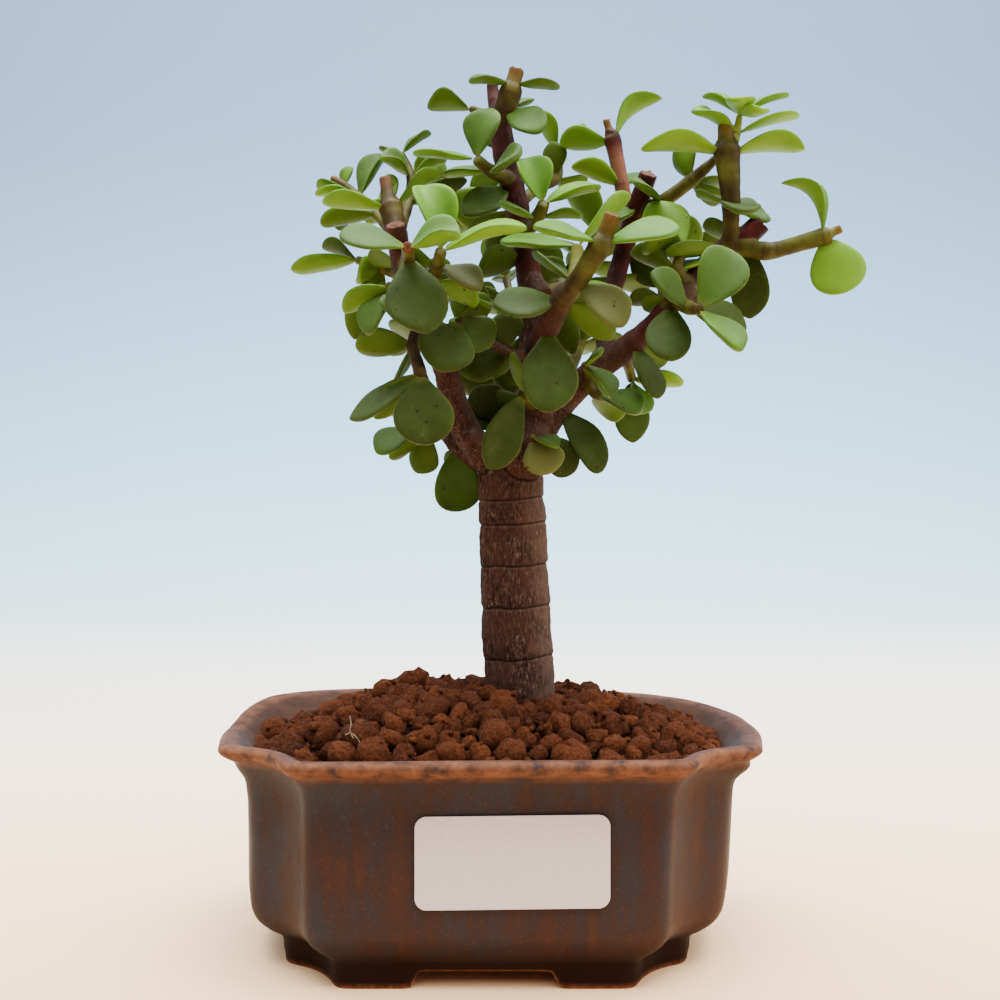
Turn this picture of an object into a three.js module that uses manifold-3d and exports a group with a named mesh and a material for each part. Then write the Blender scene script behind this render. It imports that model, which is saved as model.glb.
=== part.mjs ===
// A dwarf jade bonsai in its glazed pot. Millimetres, +Z up, -Y is the front.
// The origin is the middle of the whole object's footprint, on the surface the pot stands on.

import * as THREE from 'three';
import { mergeVertices } from 'three/addons/utils/BufferGeometryUtils.js';
import Module from 'manifold-3d';

const wasm = await Module();
wasm.setup();

// Driving dimensions of the pot
const potCentre = new THREE.Vector3(-10.9, 0.28, 0);
const potHeight = 48;
const floorTop = 11;
const footRecess = 5;
const footArchHeight = 3.7;
const footArchHalfLength = 14.6;
const footArchHalfDepth = 8;
const footRingWidth = 7;
const wallThickness = 5.2;
const endBulge = 0.06;
const drainHoleRadius = 6;
const drainHoleOffset = 22;
const clearance = 0.3;

// Each level of the pot's outline: height, half length, half depth, half length of the straight
// front panel, half depth of the rounded end.
const potLevels = [
  { z: 0, length: 46.8, depth: 34.3, panel: 30.6, end: 17.8 },
  { z: 5, length: 47.4, depth: 34.9, panel: 31, end: 18.2 },
  { z: 7.4, length: 50.6, depth: 36.6, panel: 33.2, end: 19.4 },
  { z: 10, length: 53.4, depth: 37.8, panel: 35.6, end: 20.4 },
  { z: 14, length: 54.6, depth: 38.3, panel: 36.3, end: 21 },
  { z: 36, length: 55, depth: 38.5, panel: 36.4, end: 21.2 },
  { z: 41.4, length: 56, depth: 39.6, panel: 36.8, end: 22 },
  { z: 44.6, length: 58, depth: 42.4, panel: 37.8, end: 23.4 },
  { z: 45.8, length: 61, depth: 45.2, panel: 38.9, end: 25.2 },
  { z: 47.2, length: 61.6, depth: 45.8, panel: 39.2, end: 25.6 },
  { z: potHeight, length: 60.2, depth: 44.6, panel: 38.8, end: 24.8 },
];
const bodyLevel = potLevels[5];
const rimHollow = { length: 56, depth: 39.4, panel: 36.4, end: 21.4 };

// Driving dimensions of the soil, the drainage pieces and the sticker
const soilSideGap = 0.8;
const soilRimHeight = 45.6;
const soilMoundHeight = 55.6;
const screenSize = 22;
const screenThickness = 1;
const screenBars = 6;
const screenBarWidth = 1.4;
const wireRadius = 0.6;
const wireLegSpacing = 8.24;
const wireToeLength = 7;
const labelWidth = 39.3;
const labelHeight = 18.8;
const labelThickness = 0.25;
const labelGap = 0.4;
const labelCorner = 2.4;
const labelCentre = new THREE.Vector2(5.5, 27.2);

// Where the photograph was taken from: the plant's places were read off it, so a place is given
// as the picture's column and row and the distance in millimetres towards the viewer from the
// plane through the middle of the pot.
const view = { column: 500, row: 515, focal: 1225, distance: 285, height: 97, side: 3 };

function seen(column, row, near) {
  const reach = view.distance - near;
  const x = view.side + ((column - view.column) * reach) / view.focal;
  const z = view.height - ((row - view.row) * reach) / view.focal;
  return new THREE.Vector3(x, -near, z);
}

// Each shoot: its nodes from the base outwards as [column, row, near, radius].
const shoots = {
  trunk: [
    [520, 790, 0, 7.2], [520, 712, 0, 7.8], [519.5, 664, 0, 7.7], [519, 660, 0, 7.3],
    [518, 640, 0, 7.8], [516.5, 610, 0, 7.7], [516, 606, 0, 7.3], [515.5, 590, 0, 7.7],
    [514.5, 571, 0, 7.6], [514, 567, 0, 7.2], [514, 548, 0, 7.6], [513.5, 528, 0, 7.5],
    [513, 524, 0, 7.1], [512.5, 512, 0, 7.4], [512, 500, 0, 7.4], [512, 497, 0, 7],
    [512, 486, 0, 7.3], [512, 474, 0, 7.3], [514, 462, 0, 6.2],
  ],
  leader: [
    [514, 472, 1, 5.6], [530, 434, 2, 5.2], [541, 402, 4, 4.3], [534, 350, 3, 3.5],
    [531, 292, 1, 3.2], [526, 258, 1, 2.9], [517, 208, 3, 2.8], [512, 185, 3, 2.8],
    [505, 155, 4, 2.8], [499, 118, 4, 2.6],
  ],
  crown_top: [[500, 126, 4, 2.3], [509, 98, 6, 2.5], [515, 84, 6, 2], [517, 69, 6, 1.5]],
  crown_stub: [[500, 128, 3, 1.8], [494, 102, 0, 1.5], [492, 80, -1, 1.4]],
  crown_left: [[500, 124, 3, 1.2], [484, 114, -2, 1.1], [471, 109, -4, 1]],
  upper_left: [[511, 180, 4, 1.7], [491, 171, 10, 1.5], [476, 159, 13, 1.3]],
  centre_top: [[520, 238, 3, 1.9], [537, 218, 11, 1.7], [544, 203, 15, 1.4]],
  back_upper: [[517, 205, 2, 1.6], [538, 188, -12, 1.4], [557, 178, -17, 1.3], [557, 152, -19, 1.1]],
  front_stub: [[532, 280, 1, 2.2], [547, 297, 14, 1.9]],
  front_twig: [
    [535, 352, 4, 2.8], [548, 326, 24, 2.6], [558, 306, 29, 2.4], [581, 288, 32, 2.1],
    [603, 246, 35, 1.9], [612, 214, 37, 1.6],
  ],
  olive_side: [[571, 292, 30, 1.6], [576, 268, 26, 1.5], [577, 246, 24, 1.4]],
  left_branch: [
    [506, 470, 0, 4.8], [480, 450, 4, 3.9], [462, 422, 8, 3.5], [450, 385, 12, 3],
    [437, 345, 15, 2.8], [418, 305, 20, 2.6], [403, 266, 25, 2.4], [395, 224, 30, 2.2],
  ],
  left_knob: [[482, 456, 4, 3.2], [468, 432, 12, 2.4]],
  left_low: [
    [490, 466, 0, 3], [458, 445, -3, 2.4], [436, 412, -6, 2], [420, 374, -8, 1.6],
    [412, 344, -8, 1.3],
  ],
  left_hang: [[424, 318, 18, 1.6], [413, 344, 25, 1.4], [421, 373, 32, 1.4]],
  left_crown: [[404, 268, 24, 2.2], [397, 236, 18, 2.4], [390, 206, 15, 2.2], [385, 178, 13, 1.45]],
  left_front: [[405, 270, 25, 1.6], [408, 257, 33, 1.5], [408, 247, 41, 1.35]],
  left_back: [
    [397, 238, 18, 1.5], [378, 215, 6, 1.4], [359, 197, -1, 1.2], [346, 187, -3, 1.1],
    [332, 178, -5, 1],
  ],
  left_side: [[404, 276, 23, 1.5], [382, 268, 11, 1.3], [358, 260, 2, 1.1]],
  left_mid: [[412, 292, 22, 1.5], [396, 288, 30, 1.4], [389, 287, 33, 1.2]],
  left_inner: [[398, 234, 17, 1.5], [408, 204, 4, 1.3], [411, 177, -1, 1.2], [401, 154, -4, 1]],
  centre_left: [[421, 312, 20, 1.7], [432, 284, 27, 1.5], [438, 264, 31, 1.4], [441, 251, 35, 1.3]],
  mid_left: [[532, 362, 4, 2], [508, 352, 16, 1.6], [488, 341, 22, 1.4], [458, 320, 28, 1.2]],
  low_left: [[446, 428, -4, 1.5], [431, 434, 2, 1.2], [412, 428, 6, 1.1]],
  low_front: [[538, 408, 4, 1.8], [523, 394, 13, 1.4]],
  right_branch: [
    [534, 432, 2, 4.8], [558, 405, 3, 3.7], [588, 377, 4, 3.1], [620, 353, 5, 2.9],
    [634, 342, 6, 2.8], [648, 330, 7, 2.5], [672, 303, 9, 2.2], [700, 270, 9, 2.2],
    [724, 249, 9, 2.3], [744, 238, 9, 2.6], [762, 222, 10, 2.5],
  ],
  right_twig: [
    [742, 247, 10, 1.8], [776, 250, 12, 1.9], [800, 245, 13, 1.9], [824, 237, 14, 1.9],
    [829, 234, 14, 1.2], [842, 228, 15, 1],
  ],
  vertical_shoot: [[729, 250, 10, 1.9], [731, 205, 12, 2.1], [727, 152, 13, 2.9], [725, 145, 13, 2.1],
    [725, 124, 13, 1.8]],
  axil_shoot: [[731, 150, 14, 1.3], [738, 134, 16, 1.2], [743, 115, 17, 0.9]],
  dark_branch: [
    [606, 362, 3, 2.3], [606, 322, -6, 2.3], [617, 275, -10, 2.3], [628, 236, -8, 2.4],
    [637, 206, -4, 2.3], [649, 173, 0, 2.2],
  ],
  pink_shoot: [[629, 224, -8, 2], [622, 186, -8, 1.8], [613, 142, -9, 1.9], [610, 135, -9, 1.1],
    [606, 119, -9, 0.95]],
  tan_shoot: [[633, 216, -6, 1.8], [662, 202, 0, 1.7], [692, 180, 4, 1.6], [718, 157, 7, 1]],
  right_stub: [[686, 287, 10, 1.7], [697, 303, 22, 1.6]],
  right_up: [[688, 284, 10, 1.6], [677, 270, 13, 1.4], [684, 247, 10, 1.2]],
  right_front: [[674, 301, 10, 1.6], [689, 308, 23, 1.5], [699, 309, 33, 1.3]],
  right_low: [[588, 377, 5, 1.6], [596, 394, 8, 1.3], [622, 401, 4, 1.1]],
  right_under: [[624, 350, 4, 1.5], [632, 380, -6, 1.2]],
  right_spur: [[590, 376, 5, 1.3], [585, 364, 12, 1]],
  back_left: [[524, 246, 1, 1.8], [500, 236, -13, 1.6], [472, 218, -24, 1.3], [448, 196, -31, 1.1]],
  back_right: [[530, 300, 1, 1.9], [556, 288, -14, 1.6], [586, 262, -26, 1.3], [598, 232, -33, 1.1]],
  back_low: [[550, 416, 3, 2.4], [566, 376, -14, 1.9], [580, 344, -27, 1.5], [584, 312, -36, 1.2]],
  back_left_low: [[447, 376, 12, 2], [454, 358, -6, 1.7], [462, 334, -20, 1.4], [462, 304, -31, 1.1]],
  back_middle: [[534, 348, 3, 2], [524, 334, -14, 1.6], [514, 310, -27, 1.3], [506, 278, -36, 1.1]],
  back_far_right: [[668, 307, 9, 1.8], [664, 288, -7, 1.5], [672, 264, -18, 1.3], [690, 244, -26, 1.1]],
};
const roundSides = { trunk: 14, leader: 10, left_branch: 8, right_branch: 8 };
const twigSides = 6;

// Each leaf: where its tip shows as [column, row], how far its tip comes forward of its node, its
// width, the way its upper face looks as [right, towards the viewer, up], and how far its middle
// arches to its upper side, as a share of its length.
const leafThickness = 2.1;
const leafCupShare = 0.1;
const leafWidest = 0.6;
const leafPairs = [
  ['top_pair', 'crown_top', 2,
    [469, 79, 2, 9.5, [0, -0.1, 1], 0],
    [560, 88, 0, 9.5, [0, 0, 1], 0]],
  ['top_front_pair', 'crown_top', 1,
    [534, 135, 9, 10, [0, 0.6, 0.8], 0],
    [523, 101, -10, 8, [0, 0, 1], 0]],
  ['top_left_leaf', 'crown_left', 2,
    [427, 108, 0, 10, [0, -0.3, 1], 0.08]],
  ['upper_left_pair', 'upper_left', 2,
    [490, 107, 0, 9, [-0.6, 0.7, 0], 0],
    [413, 152, -2, 9, [0, 0.35, 1], 0]],
  ['upper_left_low_pair', 'upper_left', 1,
    [443, 176, -4, 9, [0, 0.4, 1], 0],
    [519, 153, 8, 9, [-0.2, 0.75, 0.6], 0]],
  ['centre_top_pair', 'centre_top', 2,
    [533, 160, -3, 9.5, [-0.2, 0.9, 0.3], 0],
    [600, 188, -4, 8, [0, 0.3, 1], 0]],
  ['centre_low_pair', 'centre_top', 1,
    [499, 202, 4, 9, [0, 0.45, 0.9], 0],
    [583, 214, 2, 9, [0, 0.25, 1], 0]],
  ['back_upper_pair', 'back_upper', 2,
    [551, 141, 2, 9, [0.3, -0.9, 0], 0],
    [582, 192, -7, 8, [0, -0.3, 1], 0]],
  ['pink_pair', 'pink_shoot', 2,
    [660, 95, -4, 9, [-0.5, -0.6, 0.5], 0.12],
    [560, 142, -4, 9, [0, -0.6, 0.8], 0]],
  ['pink_low_pair', 'pink_shoot', 1,
    [572, 166, 3, 8.5, [0, -0.55, 0.8], 0],
    [645, 172, -9, 7, [0, 0, 1], 0]],
  ['tan_end_pair', 'tan_shoot', 2,
    [675, 148, -2, 8, [0.7, -0.5, 0.4], 0],
    [722, 187, -8, 8, [0, -0.2, 1], 0]],
  ['shoot_pair', 'vertical_shoot', 2,
    [641, 150, 3, 9.5, [0, -0.15, 1], 0.07],
    [805, 148, 0, 9.5, [0, -0.15, 1], 0.07]],
  ['shoot_low_pair', 'vertical_shoot', 1,
    [698, 194, -5, 8, [0, 0.15, 1], 0],
    [766, 216, -6, 9, [0.6, 0.5, 0.6], 0]],
  ['axil_pair', 'axil_shoot', 1,
    [692, 110, 4, 8, [0, 0.35, 1], 0.05],
    [799, 118, -4, 7, [0, 0, 1], 0.04]],
  ['right_end_pair', 'right_twig', 3,
    [790, 186, -2, 9, [0.7, -0.35, 0.6], 0.24],
    [843, 294, 0, 12.6, [0.1, -1, 0], 0]],
  ['right_hanging_leaf', 'right_branch', 9,
    [750, 319, -3, 8.5, [-0.5, 0.8, 0], 0]],
  ['right_mid_leaf', 'right_branch', 8,
    [665, 251, 6, 8, [0, -0.2, 1], 0]],
  ['right_front_pair', 'right_front', 2,
    [734, 250, -4, 9.5, [0.2, -0.9, 0.3], 0],
    [743, 353, 4, 9, [0.5, 0.5, 0.6], 0]],
  ['right_front_low_pair', 'right_front', 1,
    [653, 271, 5, 7.5, [-0.3, 0.7, 0.6], 0],
    [747, 328, -7, 8, [0.2, 0.7, 0.6], 0]],
  ['right_drop_leaf', 'right_branch', 6,
    [671, 362, 10, 9.5, [0, 1, 0.3], 0]],
  ['right_up_pair', 'right_up', 2,
    [650, 203, -8, 11, [0.1, -0.9, 0.3], 0],
    [646, 243, 7, 8.5, [0, -0.6, 0.8], 0]],
  ['front_pair', 'front_twig', 4,
    [533, 228, 4, 9.5, [0, 0.5, 0.9], 0],
    [680, 228, 2, 10, [0, 0.55, 0.85], 0]],
  ['front_low_pair', 'front_twig', 3,
    [627, 322, 3, 9, [0, 0.9, 0.4], 0],
    [535, 257, -12, 8, [0, -0.3, 0.9], 0]],
  ['front_hanging_leaf', 'front_twig', 1,
    [547, 410, 7, 11.3, [0, 1, 0.1], 0]],
  ['front_base_pair', 'front_twig', 2,
    [493, 306, 2, 9, [0, 0.8, 0.6], 0],
    [613, 339, -9, 8, [0, -0.6, 0.7], 0]],
  ['olive_pair', 'olive_side', 2,
    [500, 240, -3, 9, [0, 0.4, 0.9], 0],
    [629, 195, -6, 7.5, [-0.5, -0.2, 0.6], 0]],
  ['leader_pair', 'leader', 5,
    [477, 268, 5, 8.5, [0, -0.7, 0.7], 0],
    [563, 276, -6, 8, [0, -0.7, 0.6], 0]],
  ['mid_left_pair', 'mid_left', 1,
    [487, 320, -7, 9, [0, -0.9, 0.4], 0],
    [456, 367, 3, 8.5, [0, 0.9, 0.3], 0]],
  ['mid_left_end_pair', 'mid_left', 3,
    [440, 371, 5, 11, [0, 1, 0.2], 0],
    [490, 308, -8, 8, [0, -0.8, 0.6], 0]],
  ['low_front_pair', 'low_front', 1,
    [490, 469, 5, 8.5, [0.4, 0.9, 0], 0],
    [513, 353, 6, 7, [0.8, -0.5, 0], 0]],
  ['trunk_top_pair', 'leader', 1,
    [557, 473, 8, 9, [-0.3, -0.75, 0.6], 0],
    [573, 474, -4, 8, [0.2, -0.9, 0], 0]],
  ['right_base_leaf', 'right_branch', 1,
    [598, 471, 7, 8.5, [0.3, 0.9, 0], 0]],
  ['right_low_pair', 'right_low', 1,
    [641, 412, 4, 8.5, [0, 0.5, 0.8], 0],
    [616, 420, -9, 8, [0, -0.4, 0.9], 0]],
  ['right_under_pair', 'right_branch', 4,
    [660, 397, 5, 7, [0.5, 0.8, 0], 0],
    [668, 362, -8, 8, [0, -0.9, 0.2], 0]],
  ['left_hanging_pair', 'left_hang', 2,
    [425, 445, 3, 12.2, [0, 1, 0], 0],
    [351, 421, -4, 9, [0, 0.6, 0.8], 0]],
  ['left_hanging_low_pair', 'left_hang', 1,
    [355, 344, 2, 8, [0, -0.7, 0.7], 0],
    [396, 381, -5, 5, [0.9, 0.3, 0], 0]],
  ['left_mid_pair', 'left_mid', 1,
    [366, 333, 3, 7.5, [-0.4, 0.6, 0.5], 0],
    [343, 311, -4, 7, [-0.1, -0.4, 0.9], 0]],
  ['left_side_pair', 'left_side', 2,
    [291, 272, 2, 8.5, [0, -0.5, 0.85], 0],
    [324, 246, -5, 8, [0, -0.4, 0.9], 0]],
  ['left_front_pair', 'left_front', 2,
    [339, 235, 2, 9, [0, 0.6, 0.8], 0],
    [462, 238, 2, 8.5, [0, 0.6, 0.8], 0]],
  ['left_front_leaf', 'left_front', 1,
    [427, 332, 7, 12.4, [0, 1, 0], 0]],
  ['centre_left_pair', 'centre_left', 3,
    [526, 226, 2, 9, [0, 0.45, 0.9], 0],
    [421, 186, -4, 9.5, [0.3, -0.85, 0.4], 0]],
  ['left_crown_pair', 'left_crown', 2,
    [322, 203, 3, 9, [0, 0.05, 1], 0],
    [441, 171, -3, 8.5, [0.2, -0.35, 0.9], 0]],
  ['left_back_pair', 'left_back', 2,
    [379, 152, -3, 7.5, [0.5, -0.8, 0.2], 0],
    [315, 192, 3, 8, [0, -0.1, 1], 0]],
  ['leader_leaf', 'leader', 7,
    [463, 215, 8, 8.5, [-0.3, 0.8, 0.5], 0]],
  ['back_left_pair', 'back_left', 2,
    [436, 240, -8, 9, [-0.3, -0.5, 0.8], 0],
    [505, 188, -8, 9, [0.3, -0.5, 0.8], 0]],
  ['back_right_pair', 'back_right', 2,
    [552, 240, -10, 9, [-0.3, -0.5, 0.8], 0],
    [622, 280, -8, 9, [0.3, -0.5, 0.8], 0]],
  ['back_low_pair', 'back_low', 2,
    [548, 352, -11, 9, [0, -0.6, 0.8], 0],
    [622, 346, -8, 9, [0, -0.6, 0.8], 0]],
  ['back_middle_pair', 'back_middle', 2,
    [478, 300, -9, 9, [-0.2, -0.6, 0.8], 0],
    [548, 322, -8, 9, [0.2, -0.6, 0.8], 0]],
  ['back_left_low_pair', 'back_left_low', 2,
    [424, 330, -9, 9, [-0.2, -0.6, 0.8], 0],
    [500, 342, -10, 9, [0.2, -0.6, 0.8], 0]],
  ['back_far_right_pair', 'back_far_right', 2,
    [640, 262, -10, 9, [-0.2, -0.6, 0.8], 0],
    [704, 292, -10, 9, [0.2, -0.6, 0.8], 0]],
  ['low_left_pair', 'low_left', 2,
    [376, 453, 3, 8, [0, 0.5, 0.8], 0],
    [402, 384, -8, 8, [0, -0.7, 0.3], 0]],
  ['lowest_leaf', 'left_low', 1,
    [455, 511, -6, 9.5, [0, 1, 0], 0]],
];

// Surface finishes
const finish = {
  glaze: { color: 0x6b4534, roughness: 0.38, metalness: 0 },
  soil: { color: 0x6e3a20, roughness: 1, metalness: 0 },
  screen: { color: 0x1f2a24, roughness: 0.6, metalness: 0 },
  wire: { color: 0x9a6a48, roughness: 0.4, metalness: 1 },
  bark: { color: 0x5d4034, roughness: 0.85, metalness: 0 },
  leaf: { color: 0x6f9a2f, roughness: 0.4, metalness: 0 },
  label: { color: 0xe9dedd, roughness: 0.6, metalness: 0 },
};

// Solids and meshes

function solidOf(geometry) {
  const plain = geometry.clone();
  plain.deleteAttribute('normal');
  plain.deleteAttribute('uv');
  const merged = mergeVertices(plain, 1e-4);
  return new wasm.Manifold(new wasm.Mesh({
    numProp: 3,
    vertProperties: new Float32Array(merged.attributes.position.array),
    triVerts: new Uint32Array(merged.index.array),
  }));
}

function geometryOf(solid) {
  const mesh = solid.getMesh();
  const geometry = new THREE.BufferGeometry();
  geometry.setAttribute('position', new THREE.BufferAttribute(mesh.vertProperties, 3));
  geometry.setIndex(new THREE.BufferAttribute(mesh.triVerts, 1));
  geometry.computeVertexNormals();
  return geometry;
}

function largestBody(solid) {
  const bodies = solid.decompose();
  bodies.sort((a, b) => b.volume() - a.volume());
  return bodies[0];
}

const object = new THREE.Group();

function addPiece(name, solid, look) {
  const mesh = new THREE.Mesh(geometryOf(solid), new THREE.MeshStandardMaterial(look));
  mesh.name = name;
  mesh.position.copy(potCentre);
  object.add(mesh);
}

// A cylinder whose rings are moved to wherever ringPoint(side, ring) puts them.
function ringedSolid(sides, rings, ringPoint) {
  const geometry = new THREE.CylinderGeometry(1, 1, 1, sides, rings);
  const position = geometry.attributes.position;
  const point = new THREE.Vector3();
  for (let i = 0; i < position.count; i += 1) {
    point.fromBufferAttribute(position, i);
    const across = Math.hypot(point.x, point.z);
    const turn = Math.atan2(point.x, point.z) / (2 * Math.PI);
    const ring = Math.round((point.y + 0.5) * rings);
    point.copy(ringPoint(turn, ring, across));
    position.setXYZ(i, point.x, point.y, point.z);
  }
  return solidOf(geometry);
}

// The pot

const outlineSides = 64;
const straightSides = 5;
const notchSides = 5;
const cornerSides = 3;
const endSides = 3;

// A quarter of the lobed outline, from the middle of the front to the middle of the end.
function quarterOutline(level) {
  const { length, depth, panel, end } = level;
  const corner = length * (1 - endBulge);
  const straight = new THREE.LineCurve(new THREE.Vector2(0, depth), new THREE.Vector2(panel, depth));
  const notchEnd = new THREE.Vector2(corner - 3.6, end + 3.4);
  const notch = new THREE.CubicBezierCurve(
    new THREE.Vector2(panel, depth),
    new THREE.Vector2(panel + 1.4, depth - 5.4),
    new THREE.Vector2(panel + 4.6, end + 5.4),
    notchEnd,
  );
  const cornerEnd = new THREE.Vector2(corner + 0.3, end - 3.6);
  const turn = new THREE.QuadraticBezierCurve(notchEnd, new THREE.Vector2(corner, end + 2.4), cornerEnd);
  const arc = new THREE.QuadraticBezierCurve(
    cornerEnd,
    new THREE.Vector2(length, end * 0.35),
    new THREE.Vector2(length, 0),
  );
  const parts = [[straight, straightSides], [notch, notchSides], [turn, cornerSides], [arc, endSides]];
  return parts.flatMap(([curve, count]) => curve.getPoints(count).slice(0, count));
}

// The whole outline, starting at the middle of the front (-Y) and turning towards +X.
function potOutline(level) {
  const quarter = quarterOutline(level);
  const frontRight = quarter.map((p) => new THREE.Vector2(p.x, -p.y));
  const end = new THREE.Vector2(level.length, 0);
  const backRight = [end, ...quarter.slice(1).reverse().map((p) => new THREE.Vector2(p.x, p.y))];
  const right = [...frontRight, ...backRight];
  const left = right.map((p) => new THREE.Vector2(-p.x, -p.y));
  return [...right, ...left];
}

function outlineSolid(levels) {
  const outlines = levels.map(potOutline);
  return ringedSolid(outlineSides, levels.length - 1, (turn, ring, across) => {
    const place = Math.round((((turn % 1) + 1) % 1) * outlineSides) % outlineSides;
    const point = outlines[ring][place];
    return new THREE.Vector3(point.x * across, point.y * across, levels[ring].z);
  });
}

function inset(level, z, by) {
  return {
    z,
    length: level.length - by,
    depth: level.depth - by,
    panel: level.panel - by * 0.6,
    end: level.end - by * 0.6,
  };
}

function boxSolid(width, depth, height, x, y, z) {
  const box = new THREE.BoxGeometry(width, depth, height);
  box.translate(x, y, z);
  return solidOf(box);
}

function uprightCylinder(radius, height, sides, x, y, z) {
  const cylinder = new THREE.CylinderGeometry(radius, radius, height, sides);
  cylinder.rotateX(Math.PI / 2);
  cylinder.translate(x, y, z);
  return solidOf(cylinder);
}

const hollowLevels = [
  inset(bodyLevel, floorTop, wallThickness + 2),
  inset(bodyLevel, floorTop + 2.5, wallThickness),
  inset(bodyLevel, 39, wallThickness),
  { ...rimHollow, z: 46.6, length: rimHollow.length - 1.2, depth: rimHollow.depth - 0.8 },
  { ...rimHollow, z: potHeight + 0.4 },
];

// The ring the pot stands on is hollow inside and has an arch in each of its four sides, which
// leaves four feet.
function makePot() {
  let pot = outlineSolid(potLevels).subtract(outlineSolid(hollowLevels));
  const ring = potLevels[0];
  const recess = [inset(ring, -1, footRingWidth), inset(ring, footRecess, footRingWidth)];
  pot = pot.subtract(outlineSolid(recess));
  pot = pot.subtract(boxSolid(2 * footArchHalfLength, 120, 2 * footArchHeight, 0, 0, 0));
  pot = pot.subtract(boxSolid(140, 2 * footArchHalfDepth, 2 * footArchHeight, 0, 0, 0));
  for (const x of [-drainHoleOffset, drainHoleOffset]) {
    pot = pot.subtract(uprightCylinder(drainHoleRadius, 20, 20, x, 0, floorTop));
  }
  return pot;
}

// The drainage screens and the wires that hold them

function makeScreen(x, grow = 0) {
  const size = screenSize + 2 * grow;
  const middle = floorTop + clearance + screenThickness / 2;
  let screen = boxSolid(size, size, screenThickness + 2 * grow, x, 0, middle);
  if (grow > 0) {
    return screen;
  }
  const pitch = (screenSize - screenBarWidth) / (screenBars - 1);
  const opening = pitch - screenBarWidth;
  const reach = (screenBars - 2) / 2;
  for (let i = -reach; i <= reach; i += 1) {
    for (let j = -reach; j <= reach; j += 1) {
      const hole = boxSolid(opening, opening, 3 * screenThickness, x + i * pitch, j * pitch, middle);
      screen = screen.subtract(hole);
    }
  }
  return screen;
}

// A tube of changing radius along a path through the given points.
function tube(points, radii, sides, stepsPerSpan = 1, grow = 0) {
  const curve = new THREE.CatmullRomCurve3(points, false, 'centripetal');
  const steps = (points.length - 1) * stepsPerSpan;
  const centres = [];
  const sizes = [];
  for (let i = 0; i <= steps; i += 1) {
    const place = (i / steps) * (points.length - 1);
    const before = Math.min(Math.floor(place), points.length - 2);
    const share = place - before;
    centres.push(curve.getPoint(i / steps));
    sizes.push(THREE.MathUtils.lerp(radii[before], radii[before + 1], share) + grow);
  }
  const frames = [];
  let across = null;
  for (let i = 0; i <= steps; i += 1) {
    const ahead = centres[Math.min(i + 1, steps)];
    const behind = centres[Math.max(i - 1, 0)];
    const tangent = ahead.clone().sub(behind).normalize();
    if (across === null) {
      const helper = Math.abs(tangent.x) > 0.8 ? new THREE.Vector3(0, 1, 0) : new THREE.Vector3(1, 0, 0);
      across = helper.clone();
    }
    across = across.clone().addScaledVector(tangent, -across.dot(tangent)).normalize();
    frames.push({ tangent, across, up: tangent.clone().cross(across) });
  }
  centres[0] = centres[0].clone().addScaledVector(frames[0].tangent, -grow);
  centres[steps] = centres[steps].clone().addScaledVector(frames[steps].tangent, grow);
  return ringedSolid(sides, steps, (turn, ring, radial) => {
    const angle = turn * 2 * Math.PI;
    const frame = frames[ring];
    return centres[ring].clone()
      .addScaledVector(frame.across, Math.cos(angle) * sizes[ring] * radial)
      .addScaledVector(frame.up, Math.sin(angle) * sizes[ring] * radial);
  });
}

// A wire goes up through one opening of the screen, across it and down through another, and its
// two toes are bent out under the pot's floor.
function makeWire(x, grow = 0) {
  const half = wireLegSpacing / 2;
  const over = floorTop + clearance + screenThickness + clearance + wireRadius;
  const under = footRecess - clearance - wireRadius;
  const toe = half + wireToeLength;
  const points = [
    [-toe, under], [-half - 1, under], [-half, under + 0.8], [-half, over - 0.8], [-half + 1, over],
    [half - 1, over], [half, over - 0.8], [half, under + 0.8], [half + 1, under], [toe, under],
  ].map(([across, z]) => new THREE.Vector3(x + across, 0, z));
  return tube(points, points.map(() => wireRadius), 6, 1, grow);
}

// The wood

function makeWood(grow) {
  let wood = null;
  for (const [name, nodes] of Object.entries(shoots)) {
    const points = nodes.map(([column, row, near]) => seen(column, row, near));
    const radii = nodes.map((node) => node[3]);
    const limb = tube(points, radii, roundSides[name] ?? twigSides, 1, grow);
    wood = wood === null ? limb : wood.add(limb);
  }
  return wood;
}

// The leaves

const leafRings = [0, 0.06, 0.32, leafWidest, 0.87, 1];
const leafSides = 6;

// The leaf's half width as a share of its widest, from its neck at 0 to its tip at 1.
function leafProfile(along) {
  if (along <= leafWidest) {
    return 0.18 + 0.82 * Math.sin((Math.PI / 2) * (along / leafWidest));
  }
  return Math.sqrt(Math.max(0, 1 - ((along - leafWidest) / (1 - leafWidest)) ** 2));
}

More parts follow.
